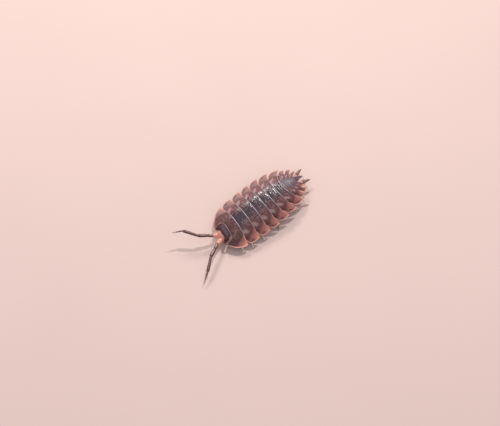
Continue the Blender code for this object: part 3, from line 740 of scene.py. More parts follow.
def face_finish(colours):
    """Pale orange, faintly translucent chitin, greyer where it is dark."""
    paint = Finish("chitin_face", ior=1.5, subsurface_weight=0.25, subsurface_scale=0.25 * MM)
    dark, fine = paint.value("dark"), paint.noise(8.0, 3)
    tone = paint.mix(dark + (fine - 0.5) * 0.3, tuple4(colours.face), tuple4(colours.lobe))
    return paint.done(base_color=tone, roughness=0.34 + 0.2 * fine, normal=paint.relief(fine, 0.006))


def feeler_finish(colours):
    """Dark brown feelers, with a pale lens-shaped stripe on the long articles and pale joints.

    Each point keeps its share along its article, its turn round it, how striped and how dark the
    article is.
    """
    paint = Finish("chitin_feeler", ior=1.5)
    along, turn = paint.value("along"), paint.value("turn")
    striped, dark = paint.value("striped"), paint.value("dark")
    fine = paint.noise(10.0, 3)
    off_top = abs(turn - 0.25)
    width = 0.065 * (1 - ((along - 0.5) * 2.3) ** 2)
    stripe = (1 - paint.step(-0.02, 0.03, off_top - width)) * striped
    ends = 1 - paint.step(0.01, 0.05, paint.math("MINIMUM", along, 1 - along))
    tone = paint.mix(fine * 0.5, tuple4(colours.feeler), tuple4(colours.maroon))
    tone = paint.mix(stripe * (0.65 + 0.5 * (fine - 0.5)), tone, tuple4(colours.stripe))
    tone = paint.mix(ends * 0.35, tone, tuple4(colours.stripe))
    tone = paint.mix(1 - dark, tone, tuple4(colours.face))
    return paint.done(base_color=tone, roughness=0.38 + 0.15 * fine,
                      normal=paint.relief(paint.noise(22.0, 2), 0.008))


def leg_finish(colours):
    """Pale legs with brown clouds on the upper side, paler joints and brown claw tips."""
    paint = Finish("chitin_leg", ior=1.5, subsurface_weight=0.2, subsurface_scale=0.2 * MM)
    along, turn, dark = paint.value("along"), paint.value("turn"), paint.value("dark")
    cloud, fine = paint.noise(3.5, 3), paint.noise(12.0, 2)
    upper = 1 - paint.step(0.10, 0.30, abs(turn - 0.25))
    mottle = paint.step(0.44, 0.64, cloud) * (0.20 + 0.35 * upper)
    tone = paint.mix(mottle * 0.5, tuple4(colours.leg), tuple4(colours.lobe))
    ends = 1 - paint.step(0.02, 0.09, paint.math("MINIMUM", along, 1 - along))
    tone = paint.mix(ends * 0.35, tone, tuple4(colours.rim))
    tone = paint.mix(dark, tone, tuple4(colours.feeler))
    return paint.done(base_color=tone, roughness=0.36 + 0.2 * fine, normal=paint.relief(fine, 0.006))


def uropod_finish(colours):
    """Dark brown tail limbs with a lighter middle, a pale root, and paler where each article starts."""
    paint = Finish("chitin_uropod", ior=1.5)
    along, turn, dark = paint.value("along"), paint.value("turn"), paint.value("dark")
    fine = paint.noise(9.0, 3)
    top = 1 - paint.step(0.05, 0.17, abs(turn - 0.25))
    middle = paint.bell(along, 0.42, 0.26) * top
    tone = paint.mix(fine * 0.6, tuple4(colours.feeler), tuple4(colours.maroon))
    tone = paint.mix(middle * (0.35 + 0.5 * (fine - 0.4)), tone, tuple4(colours.lobe))
    tone = paint.mix((1 - paint.step(0.02, 0.10, along)) * 0.5, tone, tuple4(colours.rim))
    tone = paint.mix(1 - dark, tone, tuple4(colours.rim))
    return paint.done(base_color=tone, roughness=0.30 + 0.15 * fine,
                      normal=paint.relief(paint.noise(20.0, 2), 0.007))


def soft_finish(colours, name, key):
    """Matt, faintly translucent skin of the underside and the gill flaps."""
    paint = Finish(name, ior=1.45, subsurface_weight=0.25, subsurface_scale=0.3 * MM)
    cloud, fine = paint.noise(1.8, 3), paint.noise(10.0, 3)
    tone = paint.mix(paint.step(0.3, 0.7, cloud) * 0.35, tuple4(key), tuple4(colours.lobe))
    tone = paint.mix(paint.value("dark"), tone, tuple4(colours.maroon))
    return paint.done(base_color=tone, roughness=0.45 + 0.2 * fine, normal=paint.relief(fine, 0.015))


def eye_finish(colours):
    """Wet black eye beads."""
    paint = Finish("eye_bead", ior=1.55, coat_weight=0.6, coat_roughness=0.06)
    fine = paint.noise(14.0, 2)
    tone = paint.mix(fine * 0.5, tuple4(colours.eye), tuple4(colours.slate))
    return paint.done(base_color=tone, roughness=0.12 + 0.12 * fine)


def plain_finish(name, rgba, roughness):
    """A plain matt finish with the faintest cloud, for the floor."""
    paint = Finish(name, ior=1.45)
    cloud = paint.noise(0.05, 2)
    darker = tuple(0.97 * part for part in tuple4(rgba)[:3]) + (1.0,)
    return paint.done(base_color=paint.mix(cloud, tuple4(rgba), darker), roughness=roughness + 0.1 * cloud)


def granule_field(station, y, spots, radius, height):
    """Height added by granules: the sum of a Gauss bell round each spot."""
    near = (station[..., None] - spots[:, 0]) ** 2 + (y[..., None] - spots[:, 1]) ** 2
    return height * np.exp(-near / radius**2).sum(axis=-1)


def plate_form(name, number, sizes):
    """One plate of the back as a closed thin shell with values for its colours.

    Across the plate y runs over the side line's half width times u. Along it the station runs
    from the front edge, reached forward under the plate before, to the rear edge. The top is the
    vaulted back, lowered to the front by a square, with a bead along each free edge, granules,
    and a shoulder: a swelling inside and a groove outside a line that bows outward by a sine.
    Top and bottom meet in a half round, as the root of 1 - (1 - d/r)^2 of the distance d to the
    edge.
    """
    large = name.startswith("pereonite")
    lobed = 0.0 if name in TUCKED else 1.0
    thickness = (sizes.thickness if large else sizes.tail_thickness) / MM
    step = (sizes.step if large else sizes.tail_step) / MM
    fineness = 1.0 if large else 0.62
    bead = sizes.bead / MM * fineness
    columns, rows = (271, 62) if large else (191, 36)
    u = (2 * spread(columns, 0.75) - 1)[None, :]
    w = spread(rows, 0.75)[:, None]
    width = side_line(name, w) * TUCKED.get(name, 1.0)
    y = u * width
    side = np.abs(y) / width.max()
    fade = (0.30, 0.36) if number == 1 else (0.66, 0.78)
    covered = 1 - step01(*fade, side) * (lobed if number > 1 else 1.0)
    seen_front = front_edge(name, y)
    hidden_front = seen_front - sizes.overlap / MM * covered
    rear = rear_edge(name, y)
    station = hidden_front * (1 - w) + rear * w
    along = (station - seen_front) / (rear - seen_front)

    def level_distance(away, line):
        slope = np.gradient(line, axis=1) / np.maximum(np.abs(np.gradient(y, axis=1)), 1e-9)
        return away / np.sqrt(1 + slope**2)

    edge_slope = np.gradient(width, axis=0) / np.gradient(station[:, -1:], axis=0)
    to_side = (width - np.abs(y)) / np.sqrt(1 + edge_slope**2)
    to_rear = level_distance(rear - station, rear)
    to_front = level_distance(station - hidden_front, hidden_front)
    free = np.minimum(np.minimum(to_rear, to_side), to_front + 9 * covered)
    closing = np.minimum(np.minimum(to_rear, to_side), to_front)
    closed = np.sqrt(np.clip(1 - np.clip(1 - closing / (0.55 * thickness), 0, 1) ** 2, 0, 1))

    top = back(station, y) - step * np.clip(1 - along, 0, 1.6) ** 2
    if not lobed:
        top = top - 0.26 * step01(0.72, 1.0, side)
    line_at = SHOULDER_SIDE + SHOULDER_BOW * np.sin(np.pi * np.clip(along, 0, 1))
    off = (side - line_at) * width.max() if lobed else np.full_like(station, -3.0)
    lift = sizes.shoulder / MM * (1.0 if large else 0.35)
    relief = sizes.bead_height / MM * (bell(free, 0.5 * bead, 0.45 * bead) - 0.7 * bell(free, 1.9 * bead, 0.6 * bead))
    relief = relief + lift * bell(off, -0.17, 0.17) * bell(along, 0.36, 0.30)
    relief = relief - lift * bell(off, 0.11, 0.10) * bell(along, 0.45, 0.42)
    generator = np.random.default_rng(40 + number)
    count = sizes.granules if large else 0
    spots_y = generator.uniform(-0.60, 0.60, count) * PLATES[name][2]
    rank = np.round(generator.uniform(0.12, 0.88, count) * 4) / 4
    spots_along = rank * 0.82 + generator.uniform(0.02, 0.14, count)
    spot_front, spot_rear = front_edge(name, spots_y), rear_edge(name, spots_y)
    spots = np.stack([spot_front + (spot_rear - spot_front) * spots_along, spots_y], axis=1)
    grains = granule_field(station, y, spots, sizes.granule / MM, sizes.granule_height / MM)
    relief = relief + grains * step01(0.10, 0.20, free)
    top = top + relief
    half = 0.5 * thickness
    upper = top - half + half * closed
    lower = top - relief * 0.5 - half - half * closed
    form = Form("side", "along", "off", "edge", "rear", "plate", "under")
    points, faces = slab(place(station, y, upper), place(station, y, lower))
    both = {
        key: np.tile(np.broadcast_to(value, station.shape).ravel(), 2)
        for key, value in (
            ("side", side), ("along", along), ("off", off), ("edge", free / fineness), ("rear", to_rear / fineness)
        )
    }
    form.add(points, faces, plate=float(number), under=np.repeat([0.0, 1.0], station.size), **both)
    return form


def telson_form(number, sizes):
    """The pointed tail shield: a slab whose width falls by a power of its length, hollow sides."""
    thickness = 1.5 * sizes.tail_thickness / MM
    u = (2 * spread(81, 0.7) - 1)[None, :]
    w = spread(48, 0.7)[:, None]
    width = TELSON_WIDTH * (1 - w) ** TELSON_POWER + TELSON_TIP_WIDTH
    y = u * width
    seen_front = rear_edge("pleonite_5", y)
    rear = TELSON_TIP_STATION - 0.6 * np.abs(y)
    station = (seen_front - 0.28) * (1 - w) + rear * w
    along = (station - seen_front) / (rear - seen_front)
    to_rear, to_side = (rear - station) * 0.85, (width - np.abs(y)) * 0.8
    closing = np.minimum(np.minimum(to_rear, to_side), station - station[:1])
    closed = np.sqrt(np.clip(1 - np.clip(1 - closing / (0.6 * thickness), 0, 1) ** 2, 0, 1))
    free = np.minimum(to_rear, to_side)
    top = back(station, y) - 0.10 * np.clip(1 - along, 0, 1.6) ** 2
    top = top + 0.06 * bell(y, 0, 0.3) * (1 - along) - 0.05 * bell(y, 0, 0.10) * step01(0.2, 0.8, along)
    top = top + 0.015 * bell(free, 0.04, 0.03)
    half = 0.5 * thickness
    form = Form("side", "along", "off", "edge", "rear", "plate", "under")
    points, faces = slab(
        place(station, y, top - half + half * closed), place(station, y, top - half - half * closed)
    )
    both = {
        key: np.tile(np.broadcast_to(value, station.shape).ravel(), 2)
        for key, value in (
            ("side", 0.30 + 0.3 * np.abs(y)), ("along", along), ("off", -3.0), ("edge", 1.0), ("rear", free + 0.045)
        )
    }
    form.add(points, faces, plate=float(number), under=np.repeat([0.0, 1.0], station.size), **both)
    return form


def shield_form():
    """The head shield: a thick slab between its lobed front edge and its rear edge.

    It thins towards the front lobes by a smooth step and closes round its sides in a half round.
    """
    u = (2 * spread(201, 0.6) - 1)[None, :]
    w = spread(70, 0.7)[:, None]
    y = u * HEAD_HALF_WIDTH * (1 - 0.03 * (1 - w) ** 2)
    front, rear = head_front_edge(y), head_rear_edge(y)
    station = front * (1 - w) + rear * w
    to_front, to_rear = (station - front) * 0.9, rear - station
    steep = np.abs(np.gradient(rear, axis=1) / np.gradient(y, axis=1))
    to_rear = to_rear / np.sqrt(1 + steep**2)
    to_side = HEAD_HALF_WIDTH - np.abs(y)
    full = head_back(station, y) - (HEAD_UNDERSIDE + 0.20 * np.abs(u) ** 3)
    thickness = 0.26 + (full - 0.26) * step01(0.0, 0.55, to_front) * (1 - 0.75 * step01(0.35, 0.0, to_rear))
    closing = np.minimum(np.minimum(to_front, to_side), to_rear)
    round_radius = np.where(to_rear < np.minimum(to_front, to_side), 0.06, 0.15)
    closed = np.sqrt(np.clip(1 - np.clip(1 - closing / round_radius, 0, 1) ** 2, 0, 1))
    top = head_back(station, y) - 0.07 * (1 - w) ** 3
    generator = np.random.default_rng(11)
    count = 110
    spots_y = generator.uniform(-1.25, 1.25, count)
    spots = np.stack([generator.uniform(0.35, 1.22, count), spots_y], axis=1)
    relief = granule_field(station, y, spots, 0.050, 0.014) * step01(0.08, 0.18, closing)
    relief = relief + 0.030 * bell(to_rear, 0.050, 0.040) - 0.03 * bell(to_rear, 0.16, 0.05)
    lobe = bell(np.abs(y), LOBE_SPREAD, 0.20) * bell(to_front, 0.30, 0.25)
    relief = relief + 0.05 * lobe - 0.045 * bell(to_front, 0.22, 0.08) * step01(1.0, 0.7, np.abs(y))
    top = top + relief
    edge_drop = 0.5 * np.minimum(thickness, 0.34)
    upper = top - edge_drop * (1 - closed)
    lower = top - edge_drop - (thickness - edge_drop) * closed
    form = Form("edge", "rear")
    points, faces = slab(place(station, y, upper), place(station, y, lower))
    form.add(points, faces, edge=np.tile(closing.ravel(), 2), rear=np.tile(to_rear.ravel(), 2))
    return form


def ball(centre, radii, segments=28, rings=18):
    """A stretched ball at a place given by station, y and z."""
    points, faces = globe(segments, rings)
    return place(*centre) + points * np.asarray(radii), faces


def face_form():
    """Face, lips, jaws, lower plates and the two tiny first feelers under the shield."""
    form = Form("dark")
    points, faces = ball(FACE_CENTRE, FACE_RADII, 48, 32)
    height = (points[:, 2] - FACE_CENTRE[2]) / FACE_RADII[2]
    points[:, 0] += 0.06 * bell(points[:, 1], 0, 0.20) * step01(0.7, -0.4, height)
    form.add(points, faces, dark=0.55 * step01(0.25, 0.9, height))
    for centre, radii, dark in (
        ((0.00, 0.0, 1.10), (0.34, 0.20, 0.27), 0.0),
        ((-0.08, 0.0, 0.90), (0.30, 0.26, 0.16), 0.1),
        ((0.30, 0.0, 0.78), (0.28, 0.42, 0.16), 0.2),
    ):
        form.add(*ball(centre, radii), dark=dark)
    for sign in (1, -1):
        form.add(*ball((0.22, 0.42 * sign, 0.88), (0.30, 0.19, 0.21)), dark=0.1)
        form.add(*ball((0.02, 0.10 * sign, 0.76), (0.10, 0.07, 0.07), 16, 10), dark=1.0)
        form.add(*ball((0.92, 0.20 * sign, 0.70), (0.42, 0.19, 0.10)), dark=0.05)
        form.add(*ball((0.30, 0.14 * sign, 0.64), (0.12, 0.07, 0.06), 16, 10), dark=0.1)
        form.add(*ball((0.02, 0.50 * sign, 1.12), (0.26, 0.31, 0.31), 32, 20), dark=0.0)
        start = place(-0.24, 0.12 * sign, 1.22)
        for length, thick in ((0.12, 0.050), (0.10, 0.040), (0.13, 0.028)):
            end = start + length * np.array([0.86, 0.20 * sign, -0.46])
            form.add(*article(start, end, lambda t, r=thick: r + 0 * t, 10, 8)[:2], dark=0.1)
            start = end - 0.02 * (end - start)
    return form


def eye_form(sign):
    """A compound eye: a low oval mound set with beads in a spiral of golden-angle turns."""
    form = Form()
    station, y, z = EYE_CENTRE
    centre = (station - turned(station, sign * y), sign * y, z)
    inner = np.array(EYE_RADII) - 0.035
    form.add(*ball(centre, inner, 28, 18))
    count = 34
    order = np.arange(count) + 0.5
    away = np.arccos(1 - 1.15 * order / count)
    turn = np.pi * (3 - np.sqrt(5)) * order
    outward = np.stack([np.sin(away) * np.cos(turn), np.cos(away), np.sin(away) * np.sin(turn)], axis=1)
    lifted = outward @ np.array(Matrix.Rotation(0.45, 3, "X"))
    lifted[:, 1] *= sign
    centres = place(*centre) + lifted * inner
    points, faces = globe(12, 8)
    form.add(*copies(points * 0.040, faces, centres, np.broadcast_to(np.eye(3), (count, 3, 3))))
    return form


def taper(first, last, waist=0.84, swell=0.06):
    """Radius along an article: a narrow neck that opens out, then an even taper and a low swell."""
    def radius(t):
        neck = waist + (1 - waist) * step01(0.0, 0.22, t)
        return (first + (last - first) * t) * neck + first * swell * np.sin(np.pi * t**1.5)
    return radius


def bristle_rows(form, start, end, radius, count, length, generator, lean=0.8, **values):
    """Bristles scattered over an article, leaning towards its far end."""
    along, across, above = axes_along(np.subtract(end, start))
    t, turn = generator.uniform(0.12, 0.95, count), generator.uniform(0, 2 * np.pi, count)
    out = np.cos(turn)[:, None] * across + np.sin(turn)[:, None] * above
    roots = start + np.subtract(end, start) * t[:, None] + out * radius * 0.93
    points, faces = bristles(roots, out + lean * along, length * generator.uniform(0.6, 1.0, count), 0.009)
    form.add(points, faces, **values)


def feeler_forms(side, limbs):
    """The parts of one feeler: short root articles, two long ones, and the whip of three."""
    radius, whip, bristle = limbs.feeler / MM, limbs.whip / MM, limbs.bristle / MM
    joints = [place(-ahead, y, z) for ahead, y, z in FEELERS[side]]
    generator = np.random.default_rng(70 if side == "left" else 71)
    forms = {key: Form("along", "turn", "striped", "dark") for key in ("base", "article_4", "article_5", "flagellum")}

    def grow(key, start, end, profile, dark, striped, hairs=0, hair_radius=radius, **shape):
        points, faces, values = article(start, end, profile, **shape)
        forms[key].add(points, faces, dark=dark, striped=striped, **values)
        if hairs:
            bristle_rows(forms[key], start, end, hair_radius, hairs, bristle, generator, along=0.5, dark=1.0)

    tucks = [0.075 * axes_along(end - start)[0] for start, end in zip(joints, joints[1:])]
    root = joints[0] - (joints[1] - joints[0]) * 0.30
    split = joints[0] + (joints[1] - joints[0]) * 0.46
    grow("base", root, split, taper(0.31, 0.33, 0.95), 0.0, 0.0, round_end=0.30, sides=32, rings=24)
    grow("base", split - (joints[1] - split) * 0.30, joints[1], taper(0.30, 0.27, 0.9), 0.10, 0.0,
         round_end=0.28, sides=32, rings=24)
    grow("base", joints[1] - (joints[2] - joints[1]) * 0.08, joints[2], taper(0.19, 0.22), 1.0, 0.9, 8,
         round_end=0.16, sides=24, flute=0.03)
    grow("article_4", joints[2] - tucks[2], joints[3], taper(radius * 0.95, radius * 1.06), 1.0, 0.7, 22,
         sides=24, rings=30, flute=0.04, round_end=0.09)
    grow("article_5", joints[3] - tucks[3], joints[4], taper(radius * 0.80, radius * 0.92), 1.0, 0.4, 34,
         sides=24, rings=34, flute=0.04, bow=0.06, round_end=0.07)
    start, whole = joints[4], joints[5] - joints[4]
    for share, first, last, dark in ((0.36, 1.0, 0.92, 1.0), (0.26, 0.88, 0.74, 0.85), (0.36, 0.70, 0.30, 0.7)):
        end = start + whole * share
        grow("flagellum", start - tucks[4] * 0.5, end, taper(whip * first, whip * last, 0.8), dark, 0.0, 14, whip * last,
             sides=18, rings=18, round_end=0.10)
        start = end
    tuft = start - whole * 0.01
    points, faces = bristles([tuft] * 3, [whole, whole + (0.1, 0.1, 0.2), whole + (0.1, -0.1, 0.1)], 0.10, 0.012)
    forms["flagellum"].add(points, faces, dark=0.5, along=0.5)
    return forms


# A leg's articles from the body outward: end share of the route, start and end radius as shares
# of the first article's, how dark, and how many bristles
LEG_ARTICLES = (
    (0.235, 1.00, 0.98, 0.0, 6),
    (0.400, 0.80, 0.78, 0.0, 8),
    (0.560, 0.76, 0.74, 0.0, 14),
    (0.735, 0.64, 0.57, 0.0, 18),
    (0.955, 0.50, 0.36, 0.0, 24),
    (1.000, 0.28, 0.07, 0.3, 0),
)

# How much darker the outer articles of some legs are
DARK_LEGS = {("left", 5): 0.75, ("left", 6): 0.45, ("left", 7): 0.55}


def leg_form(side, number, limbs):
    """One leg: straight articles strung along the route from the socket to the foot."""
    sign = 1 if side == "left" else -1
    socket = SOCKETS[number - 1]
    foot_station, foot_y = FEET[side][number - 1]
    forward = -1 if number <= 4 else 1
    hip = np.array([socket, sign * SOCKET_Y, belly(socket) - 0.10])
    middle = np.array([socket + 0.22 * forward, sign * (SOCKET_Y + KNEE_Y) / 2, 1.10])
    knee = np.array([socket + 0.52 * forward, sign * KNEE_Y, 0.94])
    foot = np.array([foot_station, foot_y, 0.0])
    shares = np.array([share for share, _ in LIMB_HEIGHTS])[:, None]
    outward = knee + (foot - knee) * shares
    outward[:, 0] += LIMB_BENDS.get((side, number), 0.0) * np.sin(np.pi * shares[:, 0])
    outward[:, 2] = [height for _, height in LIMB_HEIGHTS]
    route = np.vstack([hip, middle, knee, outward, foot])
    stops = [0.0] + [share for share, *_ in LEG_ARTICLES]
    joints = smooth_path(place(route[:, 0], route[:, 1], route[:, 2]), stops)
    joints[-1][2] = 0.01
    form = Form("along", "turn", "dark")
    generator = np.random.default_rng(100 + 10 * number + (side == "left"))
    for (start, end), (share, first, last, dark, hairs) in zip(zip(joints, joints[1:]), LEG_ARTICLES):
        back_in = 0.10 * (start - end) if hairs else 0 * start
        if share > 0.6:
            dark = max(dark, DARK_LEGS.get((side, number), 0.0))
        radii = limbs.leg / MM * np.array([first, last])
        profile = taper(*radii, 0.72, 0.10)
        points, faces, values = article(start + back_in, end, profile, 16, 14, flat=0.85, round_end=0.14)
        points[:, 2] = np.maximum(points[:, 2], 0.0)
        form.add(points, faces, dark=dark, **values)
        if hairs:
            bristle_rows(form, start, end, radii.min() * 0.9, hairs, limbs.bristle / MM, generator,
                         along=0.5, turn=0.75, dark=0.6)
    return form


def uropod_form(side):
    """One tail limb: a squat root, the long lance-shaped outer blade and the slim inner one."""
    sign = 1 if side == "left" else -1
    stub, elbow, tip, inner_tip = (
        place(station, sign * y, z) for station, y, z in (UROPOD_STUB, UROPOD_ELBOW, UROPOD_TIP, ENDOPOD_TIP)
    )
    form = Form("along", "turn", "dark")

    def lance(t):
        return 0.265 * (0.50 + 0.50 * step01(0.0, 0.24, t)) * (1 - t**1.7) ** 0.85 + 0.012

    def slim(t):
        return 0.105 * (1 - 0.75 * t**1.5)

    for start, end, profile, flat, dark in (
        (stub, elbow + (elbow - stub) * 0.10, taper(0.21, 0.24, 0.85), 0.8, 0.15),
        (elbow - (tip - elbow) * 0.04, tip, lance, 0.60, 1.0),
        (stub * 0.4 + elbow * 0.6, inner_tip, slim, 0.8, 0.4),
    ):
        points, faces, values = article(start, end, profile, 28, 30, flat=flat, round_end=0.08)
        form.add(points, faces, dark=dark, **values)
    generator = np.random.default_rng(200 + sign)
    bristle_rows(form, elbow, tip, 0.13, 40, 0.07, generator, 1.6, along=0.5, dark=1.0)
    points, faces = bristles([tip - (tip - elbow) * 0.03] * 2, [tip - elbow, tip - elbow + (0, 0.1, 0.1)], 0.07, 0.010)
    form.add(points, faces, along=0.5, dark=1.0)
    return form


def flap_form():
    """Gill flaps: five pairs of thin curved leaves, each pair lying over the next like shingles."""
    form = Form("dark")
    u = (spread(31, 0.7))[None, :]
    w = spread(29, 0.7)[:, None]
    for pair in range(FLAP_PAIRS):
        share = pair / FLAP_PAIRS
        front = FLAP_FRONT + (FLAP_REAR - FLAP_FRONT) * share
        length = (FLAP_REAR - FLAP_FRONT) / FLAP_PAIRS * (1.75 if pair < FLAP_PAIRS - 1 else 0.98)
        half_width = 1.04 * (1 - 0.45 * (share + 0.1) ** 1.5)
        for sign in (1, -1):
            round_corner = np.clip(1 - np.clip((w - 0.45) / 0.55, 0, 1) ** 2.4, 0.02, 1) ** 0.5
            y = sign * (0.025 + (half_width - 0.025) * u * round_corner)
            station = front + length * w + 0.05 * u * w
            closing = np.minimum(np.minimum(u, 1 - u) * half_width, np.minimum(w, 1 - w) * length)
            closed = np.sqrt(np.clip(1 - np.clip(1 - closing / 0.05, 0, 1) ** 2, 0, 1))
            top = belly(station) - 0.13 - 0.26 * w - 0.10 * np.abs(y) ** 2 + 0.05 * bell(u, 0.5, 0.2) * w
            half = 0.035
            points, faces = slab(place(station, y, top + half * closed), place(station, y, top - half * closed))
            form.add(points, faces, dark=np.tile(0.25 * bell(u, 0.85, 0.2) * np.ones_like(station), (2, 1)).ravel())
    return form


def belly_form():
    """The soft body between the plates: ribbed belly plates below, hidden vault above."""
    form = Form("dark")
    u = (2 * spread(61, 0.6) - 1)[None, :]
    w = spread(161, 0.3)[:, None]
    station = 0.95 + (14.25 - 0.95) * w
    width = 0.60 * outline(station) * (1 - 0.35 * step01(11.0, 14.0, station))
    y = u * width
    closed = np.sqrt(np.clip(1 - np.clip(1 - np.minimum(w, 1 - w) * 13.3 / 0.3, 0, 1) ** 2, 0, 1))
    nearest = np.min(np.abs(station[..., None] - np.array(SOCKETS)), axis=-1)
    rib = 0.07 * np.cos(np.clip(nearest / 0.75, 0, 1) * np.pi) * step01(12.2, 11.4, station)
    coxa = 0.10 * bell(nearest, 0, 0.32) * bell(np.abs(y), SOCKET_Y, 0.25)
    bottom = belly(station) - rib * (1 - 0.6 * np.abs(u) ** 2) - coxa + 0.05 * np.abs(u) ** 4
    top = back(station, y) - 0.36
    middle = 0.5 * (top + bottom)
    station, y = np.broadcast_arrays(station, y)
    points, faces = slab(place(station, y, middle + (top - middle) * closed),
                         place(station, y, middle - (middle - bottom) * closed))
    form.add(points, faces)
    return form


class WOODLOUSE_OT_plates(bpy.types.Operator):
    """Make the twelve overlapping plates of the back and the tail shield"""

    bl_idname = "woodlouse.plates"
    bl_label = "Shell Plates"

    def execute(self, context):
        sizes, finish = context.scene.woodlouse_shell, shell_finish(context.scene.woodlouse_colours)
        for number, name in enumerate(PLATES, 1):
            plate_form(name, number, sizes).piece(f"shell_{name}", finish, "shell", [name])
        telson_form(len(PLATES) + 1, sizes).piece("shell_telson", finish, "shell", ["telson"])
        return {"FINISHED"}


class WOODLOUSE_OT_head(bpy.types.Operator):
    """Make the head shield and the face with its mouthparts"""

    bl_idname = "woodlouse.head"
    bl_label = "Head"

    def execute(self, context):
        colours = context.scene.woodlouse_colours
        shield_form().piece("head_shield", head_finish(colours), "head", ["head"])
        face_form().piece("head_face", face_finish(colours), "head", ["head"])
        return {"FINISHED"}


class WOODLOUSE_OT_eyes(bpy.types.Operator):
    """Make the two compound eyes"""

    bl_idname = "woodlouse.eyes"
    bl_label = "Eyes"

    def execute(self, context):
        finish = eye_finish(context.scene.woodlouse_colours)
        for side, sign in (("left", 1), ("right", -1)):
            eye_form(sign).piece(f"eye_beads_{side}", finish, "eye", [f"eye_{side}"])
        return {"FINISHED"}


class WOODLOUSE_OT_feelers(bpy.types.Operator):
    """Make both feelers, article by article"""

    bl_idname = "woodlouse.feelers"
    bl_label = "Feelers"

    def execute(self, context):
        finish = feeler_finish(context.scene.woodlouse_colours)
        for side in FEELERS:
            for key, form in feeler_forms(side, context.scene.woodlouse_limbs).items():
                form.piece(f"feeler_{side}_{key}", finish, "antenna", [f"antenna_{side}_{key}"])
        return {"FINISHED"}


class WOODLOUSE_OT_legs(bpy.types.Operator):
    """Make the fourteen legs"""

    bl_idname = "woodlouse.legs"
    bl_label = "Legs"

    def execute(self, context):
        finish = leg_finish(context.scene.woodlouse_colours)
        for side in FEET:
            for number in range(1, len(SOCKETS) + 1):
                name = f"leg_{side}_{number}"
                leg_form(side, number, context.scene.woodlouse_limbs).piece(f"jointed_{name}", finish, "pale", [name])
        return {"FINISHED"}


class WOODLOUSE_OT_tail_limbs(bpy.types.Operator):
    """Make the two tail limbs"""

    bl_idname = "woodlouse.tail_limbs"
    bl_label = "Tail Limbs"

    def execute(self, context):
        finish = uropod_finish(context.scene.woodlouse_colours)
        for side in ("left", "right"):
            uropod_form(side).piece(f"tail_limb_{side}", finish, "uropod", [f"uropod_{side}"])
        return {"FINISHED"}


class WOODLOUSE_OT_underside(bpy.types.Operator):
    """Make the soft belly and the gill flaps"""

    bl_idname = "woodlouse.underside"
    bl_label = "Underside"

    def execute(self, context):
        colours = context.scene.woodlouse_colours
        belly_form().piece(
            "belly", soft_finish(colours, "soft_belly", colours.under), "pale",
            [name for name in PLATES if name.startswith("pereonite")],
        )
        flap_form().piece("gill_flaps", soft_finish(colours, "gill_flap", colours.leg), "pale", ["pleopods"])
        return {"FINISHED"}


def look_matrix(azimuth, elevation, roll):
    """Rotation of a camera at that azimuth and elevation, looking at the animal, then rolled."""
    azimuth, elevation, roll = np.radians((azimuth, elevation, roll))
    away = np.array([np.sin(azimuth) * np.cos(elevation), -np.cos(azimuth) * np.cos(elevation), np.sin(elevation)])
    right = np.cross((0, 0, 1), away)
    right /= np.linalg.norm(right)
    up = np.cross(away, right)
    level = np.cos(roll) * right + np.sin(roll) * up
    return np.stack([level, np.cross(away, level), away], axis=1)


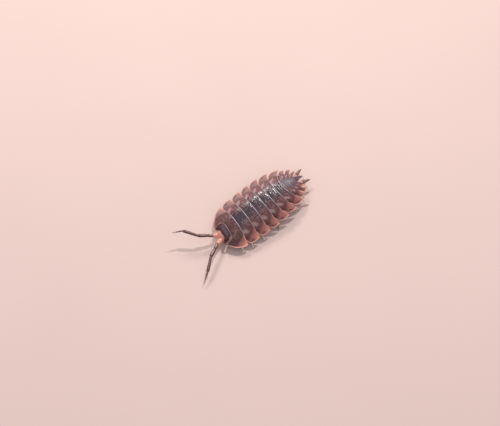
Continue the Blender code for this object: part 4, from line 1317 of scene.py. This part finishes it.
class WOODLOUSE_OT_stage(bpy.types.Operator):
    """Make the pale floor, the soft light and the camera"""

    bl_idname = "woodlouse.stage"
    bl_label = "Floor, Light and Camera"

    def execute(self, context):
        setting = context.scene.woodlouse_studio
        self.make_floor(setting)
        self.make_light(context.scene, setting)
        self.make_camera(context.scene, setting)
        return {"FINISHED"}

    def make_floor(self, setting):
        """One round flat sheet, far larger than any view of the animal."""
        turn = np.linspace(0, 2 * np.pi, 64, endpoint=False)
        ring = np.stack([np.cos(turn), np.sin(turn), 0 * turn], axis=1) * 2.0
        mesh = bpy.data.meshes.new("floor")
        mesh.from_pydata(ring.tolist(), [], [list(range(len(turn)))])
        mesh.materials.append(plain_finish("floor_pale", setting.floor, 0.6))
        floor = bpy.data.objects.new("floor", mesh)
        bpy.context.scene.collection.objects.link(floor)

    def make_light(self, scene, setting):
        """A key softbox at the animal's right, a small crisp lamp behind it, a weak top and a fill."""
        world = bpy.data.worlds.new("studio")
        world.use_nodes = True
        background = world.node_tree.nodes["Background"]
        background.inputs["Color"].default_value = tuple4(setting.fill)
        background.inputs["Strength"].default_value = setting.fill_strength
        scene.world = world
        for name, direction, side_length, distance, power, tint in (
            ("key", (-0.20, -0.74, 0.64), 0.055, setting.lamp_distance, setting.key_power, (1.0, 0.97, 0.93)),
            ("spark", (-0.51, -0.34, 0.79), 0.014, setting.lamp_distance, setting.spark_power, (1.0, 0.97, 0.92)),
            ("top", (0.10, 0.25, 0.95), 0.30, 0.35, 0.10, (1.0, 1.0, 1.0)),
        ):
            away = np.array(direction) / np.linalg.norm(direction)
            lamp = bpy.data.lights.new(name, "AREA")
            lamp.size = side_length
            lamp.energy = power
            lamp.color = tint
            made = bpy.data.objects.new(name, lamp)
            azimuth = np.degrees(np.arctan2(away[0], -away[1]))
            turned_to = look_matrix(azimuth, np.degrees(np.arcsin(away[2])), 0)
            made.matrix_world = Matrix.Translation(away * distance) @ Matrix(turned_to.tolist()).to_4x4()
            scene.collection.objects.link(made)

    def make_camera(self, scene, setting):
        """The photograph's angle, with the animal at its place in the 500 by 426 frame."""
        axes = look_matrix(CAMERA_AZIMUTH, CAMERA_ELEVATION, CAMERA_ROLL)
        right, up, away = axes.T
        off_centre = ((FRAME_WIDTH_PX / 2 - AIM_PX[0]) / PX_PER_MM, (AIM_PX[1] - FRAME_HEIGHT_PX / 2) / PX_PER_MM)
        aim = place(0, 0, AIM_HEIGHT) + right * off_centre[0] + up * off_centre[1]
        lens = bpy.data.cameras.new("camera")
        lens.sensor_width = 36
        lens.lens = lens.sensor_width * setting.camera_distance / (FRAME_WIDTH_PX / PX_PER_MM * MM)
        lens.clip_start = 0.005
        lens.clip_end = 10
        camera = bpy.data.objects.new("camera", lens)
        place_at = aim * MM + away * setting.camera_distance
        camera.matrix_world = Matrix.Translation(place_at) @ Matrix(axes.tolist()).to_4x4()
        scene.collection.objects.link(camera)
        scene.camera = camera
        scene.view_settings.view_transform = "Standard"


OPERATORS = (
    WOODLOUSE_OT_plates,
    WOODLOUSE_OT_head,
    WOODLOUSE_OT_eyes,
    WOODLOUSE_OT_feelers,
    WOODLOUSE_OT_legs,
    WOODLOUSE_OT_tail_limbs,
    WOODLOUSE_OT_underside,
    WOODLOUSE_OT_stage,
)
GROUPS = {
    "woodlouse_shell": ShellSizes,
    "woodlouse_limbs": LimbSizes,
    "woodlouse_colours": ShellColours,
    "woodlouse_studio": StudioSetting,
}


class WOODLOUSE_PT_panel(bpy.types.Panel):
    """Lists the settings and the operators"""

    bl_idname = "WOODLOUSE_PT_panel"
    bl_label = "Woodlouse"
    bl_space_type = "VIEW_3D"
    bl_region_type = "UI"
    bl_category = "Woodlouse"

    def draw(self, context):
        for name, group in GROUPS.items():
            box = self.layout.box()
            box.label(text=group.__doc__.rstrip("."))
            for key in group.__annotations__:
                box.prop(getattr(context.scene, name), key)
        for operator in OPERATORS:
            self.layout.operator(operator.bl_idname)


CLASSES = (*GROUPS.values(), *OPERATORS, WOODLOUSE_PT_panel)


def register():
    for made in CLASSES:
        bpy.utils.register_class(made)
    for name, group in GROUPS.items():
        setattr(bpy.types.Scene, name, PointerProperty(type=group))


def unregister():
    for name in GROUPS:
        delattr(bpy.types.Scene, name)
    for made in reversed(CLASSES):
        bpy.utils.unregister_class(made)


def main():
    register()
    for operator in OPERATORS:
        group, name = operator.bl_idname.split(".")
        getattr(getattr(bpy.ops, group), name)()


if __name__ == "__main__":
    main()
